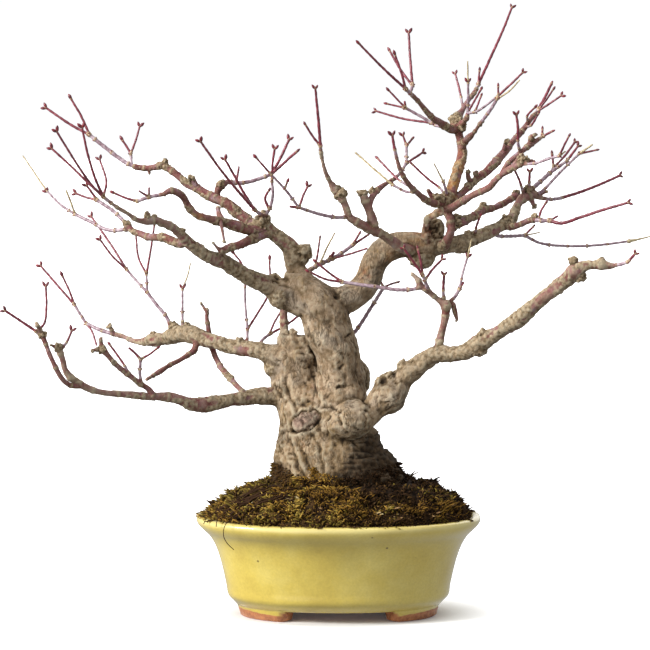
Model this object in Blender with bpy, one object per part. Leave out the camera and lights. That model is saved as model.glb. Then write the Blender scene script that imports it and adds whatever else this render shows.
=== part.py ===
"""A japanese maple bonsai in winter, bare of leaves, in a yellow glazed pot.

The tree, soil, moss mat and pot are built at their real size. Branches are drawn as routes: points chosen
by hand as they look from the front, in millimetres across and up, each with its depth behind (+) or in
front (-) of the pot's middle. from_front_view moves them along the line of sight of somebody looking from
EYE, so that the tree keeps its outline from there and gets its depth from the side.
"""

import math

import bmesh
import bpy
import numpy as np

MM = 0.001
GAP = 0.3

EYE = np.array([-6.75, -1500.0, 240.0])

POT_SHALLOWER = 14.5
POT_EXPONENT = 2.25
POT_SIDES = 36
FOOT_HEIGHT = 5.3
FLOOR_TOP = 10.5
POT_OUTSIDE = ((7.5, 53.0), (10.0, 55.3), (15.0, 56.4), (27.5, 59.2), (33.0, 61.0), (38.5, 63.3),
               (42.5, 66.5), (44.2, 69.6), (46.0, 71.0), (48.2, 71.3), (49.7, 69.9))
POT_INSIDE = ((49.9, 67.2), (47.0, 64.8), (42.0, 60.8), (33.0, 55.6), (15.0, 51.0), (11.5, 49.5))
FOOT_OUTER = 50.6
FOOT_INNER = 40.5
FOOT_ANGLES = ((190.0, 239.0), (302.0, 350.0), (10.0, 58.0), (122.0, 170.0))
FOOT_STEPS = 7
HOLE_X = 24.0
HOLE_RADIUS = 7.0
HOLE_SIDES = 20
SCREEN_SIDE = 22.0
SCREEN_THICKNESS = 1.2
SCREEN_CELL = 5.5

MOUND_EDGE = 49.0
MOUND_TOP = 66.5
MOSS_THICKNESS = 2.6
MOSS_REACH = 65.3
TRUNK_FOOT = 44.0
TRUNK_SIDES = 16

LIMB_SIDES = ((7.5, 10), (4.6, 8), (3.3, 6), (0.0, 5))
TWIG_SIDES = 4
COLLAR_FLARE = 1.12
TWIG_GAP = 0.45
BUD_LENGTH = 3.2
BUD_RADIUS = 0.95
BUD_SPREAD = 0.85
TRUNK_SHARE = 0.6
SPRAY_SHARE = 0.6

# Trunk columns: across, up, depth, width, thickness front to back.
COLUMNS = {
    "root_flare": (
        (0.3, 44, 0, 69, 51.5), (0.3, 58, 0, 68.5, 51), (0.2, 68, 0, 67.5, 50), (-1.2, 74, 0, 62, 45),
        (-2.2, 79, 0, 60, 42), (-4.5, 84, -1, 53, 38), (-5.3, 90, -1, 49.5, 35), (-6.8, 97, -1, 44.5, 32),
        (-8.5, 104, 0, 44, 30), (-9.5, 110, 1, 43, 27)),
    "rear_column": (
        (-16, 98, 3, 26, 26), (-19, 108, 5, 26, 26), (-20.5, 116, 7, 26.5, 25), (-21.5, 124, 8, 25, 23),
        (-22.3, 132, 8, 16.5, 19), (-23.2, 137, 8, 14.5, 16), (-23.6, 139.6, 8, 12.5, 13)),
    "front_column": (
        (-3, 98, -4, 30, 30), (-1, 106, -4, 31, 29), (1, 114, -3, 25, 27), (0.5, 120, -3, 22, 26),
        (0.2, 126, -3, 21.5, 25), (-1.3, 132, -3, 23.5, 25), (-3.6, 138, -3, 26, 25),
        (-5.4, 144, -3, 25, 24), (-7.2, 150, -3, 24.5, 23), (-9, 156, -3, 26, 22),
        (-12.5, 161.5, -2, 25, 20), (-17, 166.5, -2, 19, 16), (-20.6, 171, -1, 13, 12)),
}

# Limbs of the trunk's own wood: across, up, depth and diameter at each point.
LIMBS = {
    "fork_neck": (
        (-19, 168, -1, 13), (-21.5, 174, 0, 9.4), (-22.4, 179, 0, 9.8), (-24.2, 184, -1, 8),
        (-28.5, 187.6, -2, 7.2), (-33.3, 191.3, -3, 6.8), (-37, 195, -4, 7), (-37.4, 199, -6, 5.6)),
    "left_high": (
        (-34.8, 192.8, -2.6, 5.4), (-40.5, 194.8, 0, 5.7), (-43.6, 196, 1.5, 5.5),
        (-46.7, 198.4, 2.5, 5.5), (-51.5, 202.2, 4, 5.4), (-55.3, 205.4, 5, 5.3), (-58.9, 207, 6, 5.1),
        (-63, 208.9, 7, 4.8), (-66.8, 210.8, 8.5, 4.5), (-70.6, 213.3, 10, 4.2),
        (-74.4, 214.8, 11.5, 3.9), (-78.2, 218, 13, 3.9), (-81.5, 220.8, 14, 3.6),
        (-84.9, 223.1, 15.5, 3.6), (-88, 224.8, 16.5, 3.9), (-91.5, 223.8, 17.5, 3.2),
        (-96, 223.3, 19, 3.0), (-100.8, 223.8, 20.5, 2.8)),
    "left_inner": (
        (-36, 192.5, -4, 6), (-40.5, 191.9, -7, 5.4), (-44.3, 192.2, -10, 5.2), (-51.5, 194.4, -15, 5.1),
        (-56.3, 196, -18, 4.5), (-61, 197.2, -21, 4), (-65.8, 198.4, -24, 3.7), (-70.6, 199.9, -26, 3.6),
        (-73, 201.8, -27, 3.6), (-75.4, 205.1, -28, 3.4), (-77.3, 208.6, -29, 3.6),
        (-79.8, 210.9, -31, 4), (-84, 212, -33, 3.2), (-87.3, 210.3, -34, 2.5)),
    "left_short": (
        (-35.5, 191.5, -5, 5.2), (-40.5, 189, -9, 4.7), (-45, 186.9, -13, 4.4), (-50, 184.9, -17, 4),
        (-54.5, 183.5, -20, 3.8), (-58.3, 182.2, -23, 3.4), (-60.6, 183.8, -24.5, 1.6),
        (-62.6, 186.2, -25.5, 1.2)),
    "left_behind": (
        (-57.5, 206, 5.5, 3.2), (-60.2, 208.6, 8.8, 3), (-60.3, 212, 10, 3.2), (-58.5, 215, 10.5, 4.2),
        (-55, 216.4, 11, 2.6)),
    "left_behind_stub": ((-57, 196.3, -18, 3), (-59.5, 200, -14, 2.8), (-60.2, 203.6, -10, 2.2)),
    "low_fork": (
        (-16, 158, -2, 20), (-24, 160, -2, 16), (-31.5, 163.2, -3, 11.8), (-38.5, 166.3, -6, 8.6),
        (-44.3, 168.8, -9, 7.4), (-51.5, 173, -13, 7), (-56.5, 176, -16, 7), (-62, 178.2, -19, 7),
        (-66.8, 179.8, -22, 6.4), (-70.6, 183, -24, 6), (-75, 186.3, -27, 5.6), (-78.3, 189.6, -29, 5),
        (-83, 193.8, -33, 4.2), (-87.8, 196, -36, 3.9), (-91.1, 197.4, -38, 3.8),
        (-95.4, 196.8, -41, 4.1), (-100.2, 197.4, -44, 2.8), (-105.3, 200.8, -47, 2.3),
        (-109.5, 203.2, -49, 2.1), (-113.5, 206, -51, 2)),
    "low_fork_side": (
        (-75, 186.3, -27, 4.6), (-79.5, 185.8, -25, 4.5), (-83.5, 187.4, -22, 4.3),
        (-86.8, 188.9, -19, 4.2), (-90.6, 188.9, -15, 3.9), (-94.5, 189, -11, 3.6),
        (-99.2, 190.8, -6, 3.4), (-103, 192, -2, 3.1), (-105.3, 194.3, 0, 3.6)),
    "middle_left": (
        (-24, 127, 6, 17), (-31, 129.3, 6, 11.5), (-35.5, 130.7, 7, 9.2), (-39.8, 132.2, 8, 8.6),
        (-44.5, 132.9, 10, 7.8), (-50.3, 133.7, 13, 7.2), (-56.5, 134.8, 16, 6.9), (-61.2, 136.3, 18, 7),
        (-66, 137.4, 21, 7.4), (-70.8, 139.4, 24, 8.6), (-74.6, 140.6, 27, 9.2), (-78.9, 140.6, 30, 8.4),
        (-83, 139.6, 34, 8), (-87.5, 138, 38, 6), (-92.3, 137.7, 42, 6.6), (-97, 136.8, 46, 4),
        (-102.3, 136.9, 50, 2.8), (-107.1, 139, 54, 2.5), (-111.6, 140.3, 57, 2.4)),
    "middle_left_rise": (
        (-46.5, 108.5, -4, 3.6), (-48.3, 111.6, -3, 3), (-51.7, 115.4, 3, 2.9), (-55, 119.2, 9, 2.9),
        (-58.4, 123.1, 15, 2.9), (-60.6, 127, 20, 2.8), (-62.4, 131.2, 24.5, 2.8),
        (-63.8, 136, 26.5, 2.7), (-64.7, 140.5, 27, 2.6), (-65.3, 145, 27, 2.3), (-65.8, 149, 27, 2),
        (-65.5, 152.8, 27, 1.8)),
    "middle_left_hang": (
        (-71, 137.5, 22, 3.6), (-72, 132.8, 17, 3), (-75.6, 129.8, 13, 2.6), (-80.3, 126.9, 9, 2.4),
        (-83.7, 125.3, 6, 2.4), (-86.5, 123.6, 3, 2.2), (-89.4, 121.6, 0, 2.8), (-92.7, 119.7, -4, 2.1),
        (-96.1, 117.6, -8, 1.7)),
    "low_left": (
        (-22, 108, 2.7, 14), (-29, 108.8, 2, 10.5), (-35, 109.3, 1.3, 8.8), (-41.7, 109.3, -0.8, 8),
        (-50.9, 107.6, -4.3, 6.5), (-58.3, 106.7, -7.8, 6.6), (-67.6, 104.9, -12, 7.2),
        (-72.2, 105, -14.8, 6.6), (-78.7, 107.4, -18.3, 5.4), (-86, 109, -21.1, 4.6),
        (-95.3, 109.1, -24.6, 4), (-104.5, 110, -28.8, 3.6), (-113.8, 110.6, -32.3, 3.2),
        (-123, 112.4, -35.8, 3.4), (-130, 115.7, -37.9, 4), (-134.3, 119.1, -39.3, 3.5),
        (-136.9, 123, -40, 3.2), (-138, 127.5, -40.7, 3.1), (-139.6, 132, -41.4, 3.4)),
    "low_left_second": (
        (-128, 114.4, -37.2, 2.8), (-133.8, 114.6, -40.7, 2.6), (-138, 117.7, -43.5, 2.6),
        (-140.6, 121.7, -44.9, 2.6), (-142.6, 126, -45.6, 2.6), (-144.5, 130.3, -46.3, 2.5),
        (-146.3, 135.2, -46.6, 2.4), (-148, 139.4, -47, 3.2)),
    "low_left_rise": (
        (-92.5, 108.5, -23.9, 3.8), (-95.2, 112.9, -25.3, 3), (-99.5, 115.7, -27.4, 2.8),
        (-103.8, 119.1, -29.5, 2.8), (-107.6, 122, -30.9, 2.7), (-111.9, 125.8, -33, 2.6),
        (-115.7, 130.1, -34.4, 2.6), (-118.2, 133, -35.1, 3.8)),
    "rear_shoot": (
        (-27, 135, 10, 4), (-27.3, 146, 11.5, 3.8), (-27, 154, 13, 3.6), (-24.5, 161, 14.5, 3.3),
        (-20, 167.5, 15.5, 3.1), (-15.4, 171.8, 15.5, 3.3)),
    "right_arm": (
        (-6, 155, -2, 20), (2, 157.3, -1, 14.6), (8.5, 160.5, 0, 13.7), (13.2, 165, 1, 13.4),
        (15.8, 170.3, 2, 13), (17.8, 176, 2, 13.3), (21.8, 181.3, 2, 13.6), (28.5, 184.8, 2, 13.2),
        (36, 185.2, 1, 12.6), (43.5, 184.4, 1, 12.2), (50, 184.9, 1, 9.6), (56, 185.2, 2, 8.2),
        (61, 186, 4, 8), (66, 188, 6, 7.2), (70.9, 189.8, 8, 6.6), (75.5, 191.6, 11, 6),
        (80, 193.8, 14, 5.6), (83.5, 195.8, 16, 6.2), (86.6, 198.3, 18, 5.4), (88, 202, 20, 4.4),
        (89.6, 205.6, 22, 4.2), (92.5, 208.6, 24, 5), (96, 210.2, 26, 4.8), (99, 209.6, 28, 3.8),
        (101.2, 208.4, 29, 2.7)),
    "right_arm_side": (
        (83, 194.8, 16, 4.4), (86.8, 194.1, 12, 3.6), (91, 195.4, 8, 3.1), (95.8, 197.4, 4, 3.1),
        (98.2, 197.6, 2, 2.7)),
    "callus": (
        (44, 188, -3, 5.6), (43.5, 193.5, -5.5, 3.8), (45.5, 198.6, -7, 3.4), (49.4, 200.9, -7.5, 3.6),
        (52.4, 202.8, -7, 4)),
    "twisted_stem": (
        (52, 184, -2, 6), (54, 187.3, -7, 4.6), (56, 192, -9, 4.3), (55.8, 197, -9, 4.1),
        (54.3, 201.5, -8, 4.3), (53.4, 206, -6, 5.4), (55.5, 210.2, -4, 5.8), (57.4, 215, -2, 5.6),
        (58.9, 220.5, 1, 5.3), (60.5, 226, 4, 5.2), (61.6, 230.8, 6, 5.2), (61, 236, 7, 4.1),
        (59.8, 240.5, 8, 4.1), (58.6, 246.2, 9, 5.8), (61.6, 252.2, 14, 2.7), (64.6, 257, 18, 2.4),
        (67.8, 261, 21, 2.8)),
    "apex_left": (
        (59.5, 242.4, 8, 4), (55.8, 242.6, 5, 3.9), (53.3, 244, 2, 3.8), (50, 246.2, -2, 3.4),
        (46, 249, -8, 3), (42, 253.7, -14, 2.5), (39.5, 256.8, -17, 2.3), (37.3, 259, -20, 2.5)),
    "apex_right": (
        (61.4, 233, 6, 3.6), (63.4, 237, 1, 3.2), (65.6, 239.2, -4, 3.2), (67.4, 241, -8, 2.2),
        (70.3, 245.2, -13, 1.9)),
    "apex_middle": ((59, 244, 9, 3.4), (62, 246, 4, 2.8), (63.9, 248.4, -1, 2.5)),
    "crown_left": (
        (53, 206, -6, 4.6), (48.5, 205.7, -11, 3.7), (44, 207.4, -17, 3.3), (40.2, 210.2, -22, 3),
        (36.4, 213.8, -27, 2.8), (33.2, 217.9, -31, 2.6), (30.7, 222.4, -34, 2.3), (29, 228, -36, 1.9)),
    "crown_first": (
        (54.5, 207, -5, 4.6), (58.5, 208.9, -2, 4), (62, 211.5, 2, 3.7), (66, 215.4, 7, 3.6),
        (70, 218.8, 12, 3.6), (74, 221.9, 17, 4.2), (77.8, 225.6, 21, 4.6), (80.6, 229, 25, 3.9),
        (83.5, 232.3, 29, 3.6), (86.5, 236.2, 33, 3.2), (89.8, 240, 37, 3), (92.8, 243.6, 41, 2.8),
        (95.6, 247.6, 45, 2.5), (98, 250.4, 47, 2.2)),
    "crown_second": (
        (54.5, 202.5, -8, 4.6), (58, 204.4, -12, 3.7), (63, 207.5, -17, 3.5), (68, 210.4, -22, 3.4),
        (71.5, 211.9, -25, 3.3), (75, 213.6, -28, 3.3), (78, 217, -30, 3.2), (82, 220.6, -32, 3.2),
        (86, 223, -34, 3.8), (90.4, 225.2, -37, 3)),
    "crown_second_upper": (
        (81.5, 220.4, -32, 3), (84.5, 225.6, -29, 2.9), (88.3, 229, -28, 2.8), (92, 232.3, -27, 2.6),
        (95.3, 235, -26, 3.3), (99.3, 237.4, -25, 2.3)),
    "crown_third": (
        (56, 195, -8, 5), (60.3, 195.7, -5, 4.5), (64.3, 197.7, 0, 4.3), (68.2, 199.6, 6, 3.9),
        (72.3, 202.4, 13, 4.2), (76, 203.2, 20, 3.4), (80.9, 205, 27, 3.3), (85.5, 207.6, 33, 3.3),
        (88.5, 209.6, 37, 4.2)),
    "front_limb": (
        (37, 182.6, -2, 7), (31.8, 183.6, -8, 5.2), (26.8, 187, -12, 5), (20.5, 191, -16, 5),
        (14, 194, -19, 4.9), (9.5, 196.4, -21, 4.4), (5.5, 199, -22, 4), (4, 203, -23, 3.6),
        (2.6, 206.5, -24, 3.8), (0.5, 209.7, -25, 4.6), (-2.5, 213.6, -26, 3.6), (-5, 218, -28, 2.6),
        (-6.7, 222, -30, 2.4), (-8, 227, -32, 1.9), (-8.8, 231.6, -34, 1.9)),
    "front_limb_rise": (
        (18.6, 190.4, -16.4, 3.9), (17.3, 196, -18.5, 4.5), (15.9, 200.5, -19.5, 4.3),
        (14.1, 205, -20, 4.3), (12.4, 209.8, -20.5, 4.2)),
    "front_limb_right": (
        (15, 204, -19.5, 3.8), (16.4, 208.2, -17, 3.2), (18.5, 211.4, -14, 3.2), (21.2, 213.9, -10, 2.7),
        (25, 216.4, -5, 2.3), (28, 218.1, -1, 2.5)),
    "low_right": (
        (-6, 94.6, -9, 17), (-0.5, 96, -12.5, 18), (7, 98, -15, 19.6), (13.4, 101.8, -15, 16.6),
        (20, 106.5, -14, 17), (26, 111.5, -12.5, 15.5), (31.5, 117, -12.5, 12.5),
        (37, 122.3, -14, 10.6), (43.5, 127.4, -17, 9.2), (50, 130.4, -20, 8.4), (57, 130.3, -23, 7.6), (63, 131.5, -26, 7.6), (68, 134.4, -29, 8.6),
        (72.5, 137, -31, 8.6), (78.5, 140.3, -34, 7), (85, 144.4, -38, 7.4), (90.5, 148.4, -41, 7.8),
        (95.3, 152.3, -44, 7.2), (100.5, 157.3, -47, 6.4), (105.3, 161, -50, 6.4), (110.5, 165, -53, 6.8),
        (115, 168.8, -56, 7.6), (118.8, 172.3, -58, 8.4), (123, 174.6, -60, 5.2), (127.5, 175, -62, 4.4),
        (131.5, 175.2, -64, 5.4), (134.5, 174.6, -65, 3.8), (137.3, 174.8, -66, 2.3)),
    "low_right_rise": (
        (49, 128.5, -19.5, 5.6), (50, 134, -20, 4.2), (51.3, 140, -20.5, 3.9), (52.8, 146, -21, 3.9),
        (53.6, 151, -21.5, 4.2), (53.6, 155, -22, 6), (50, 157.6, -23, 3.1), (46, 160.8, -24, 2.9),
        (42.5, 163.6, -25, 3.3)),
}

# Burls, calluses and old pruning knobs: across, up, depth, then width, thickness and height.
KNOBS = (
    (8.5, 118, 6, 15, 18, 21), (-16.8, 181.2, -1, 9, 9, 8.6), (-37.4, 196.9, -5, 7.2, 7.6, 8.8),
    (-32.5, 167.5, 0, 7, 7, 7), (41.5, 179.6, 1, 14.5, 12, 13.5), (48, 193.4, -1, 10.5, 7, 11),
    (61, 183.9, 4, 9, 8, 6.5), (65.2, 190.6, 5, 4.6, 4.6, 4), (20.6, 116.6, -13, 5.4, 5.4, 5.4),
    (26, 117.5, -12, 9, 9, 8.5), (31.6, 124, -13, 5.4, 6, 6.6), (70.5, 131.8, -29.5, 8, 7, 5),
    (72, 140.8, -31, 5, 5, 4), (117.3, 177, -58, 4.6, 5, 5), (121.3, 169.4, -58, 5, 5, 5.4),
    (131.2, 177.2, -64, 4.4, 4, 3), (-82.2, 144.6, 33, 4.6, 5, 5), (-75.6, 144.6, 27, 4.2, 5, 3.6),
    (-49.3, 136.9, 12, 4.4, 4, 4), (-92.3, 139.8, 42, 5, 4.6, 3.4), (-95.4, 199, -41, 3, 3, 4),
    (-92.1, 198.9, -38.5, 3.2, 3.2, 3), (-78.6, 191.6, -29.5, 4.2, 4.2, 4),
    (-105.5, 195.4, 0.5, 4.4, 4.4, 4.4), (-86, 226.8, 16, 3, 3, 3), (-140.4, 133.8, -41.6, 4.4, 4.4, 3.6),
    (-148.2, 140.2, -47, 4, 4, 3.6), (-118.2, 133.2, -35.1, 4.6, 4.4, 4.2),
    (-58.4, 215.4, 10.5, 5, 5, 4.4), (12.2, 211, -20.7, 5, 4.8, 3.6), (17, 211.8, -14.5, 3.8, 3.6, 3.8),
    (0.8, 210.5, -25, 6, 5.6, 6), (-0.2, 213, -24.5, 3, 3, 4), (58.5, 247, 9, 6.6, 6.4, 6.4),
    (61.6, 244, 6, 4, 4.4, 5), (58.8, 197, -7, 4.6, 5, 8), (49.5, 208.6, -9, 5.4, 5, 4.4),
    (72, 205.2, 14, 3.6, 3.8, 3.6), (88.6, 211, 37.5, 4, 4, 3.4), (94.6, 212.6, 24, 4.8, 4.6, 4),
    (84, 197.5, 16, 6.4, 6.2, 5), (98, 199.4, 2.5, 3, 3, 3.6), (92.2, 227, -37, 4.6, 5, 5),
    (95.8, 237.6, -26, 3, 3, 4), (-27.4, 140.6, 10, 5, 5, 4),
)

# Short dead stubs and single twiglets that are part of the wood: across, up, depth and diameter.
SPURS = (
    ((-70, 212.5, 9.5, 3.2), (-72.9, 218.4, 9, 2.8)),
    ((-94.6, 223.6, 18.5, 2), (-94.2, 220.4, 18.8, 1.4)),
    ((-59.3, 198.5, -20, 2), (-58.4, 194.4, -24, 1.8), (-57, 186.6, -27, 1.4)),
    ((-95.4, 197.5, -41, 2.4), (-95.4, 201.2, -41, 1.6)),
    ((-112, 140.3, 57, 2.2), (-114.6, 144.4, 56, 1.8)),
    ((-65.5, 151, 27, 1.8), (-68.6, 155.8, 27, 1.3)),
    ((-118.3, 133, -35.1, 2.4), (-119, 137.9, -35.8, 1.8)),
    ((-118.3, 133, -35.1, 2.4), (-123.3, 132.3, -36.5, 1.5)),
    ((-140.5, 133.5, -41.4, 2.2), (-143.6, 135, -42.8, 1.4)),
    ((-148.2, 140, -47, 2.4), (-150.6, 145.2, -51.2, 1.8)),
    ((44.6, 212.4, -10, 2.2), (47, 209, -9.5, 2.8), (50, 208, -9, 3)),
    ((95.8, 208.5, 26, 3), (97.4, 204.4, 25, 1.9)),
    ((99, 210, 28, 2.6), (103.8, 211.7, 29, 1.5)),
    ((95.4, 235.4, -26, 2.8), (96, 238.6, -27, 2.4), (98, 240.2, -28, 1.8)),
    ((82, 230.8, 27, 2.4), (83.4, 236.6, 26, 2)),
    ((66, 215.8, 7, 2.8), (64.6, 219, 5, 2.4), (64.4, 221.6, 4, 2)),
    ((68.4, 218, 10, 2.4), (68.2, 221.2, 9, 1.8)),
    ((40.8, 164.5, -25, 4.2), (40, 167.2, -25.5, 3.2), (36.8, 170.6, -26, 1.8)),
    ((57.2, 155.4, -21, 3), (58.2, 151.4, -20, 2.8), (59.3, 147.6, -19.5, 1.6)),
    ((86, 223, -34, 2.6), (91.3, 230, -37, 1.8)),
    ((-22.5, 138, 4, 3.6), (-22.6, 142.2, 3.5, 3.2)),
    ((92.5, 227, -37, 2.8), (97, 226.8, -34, 1.6)),
)

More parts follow.
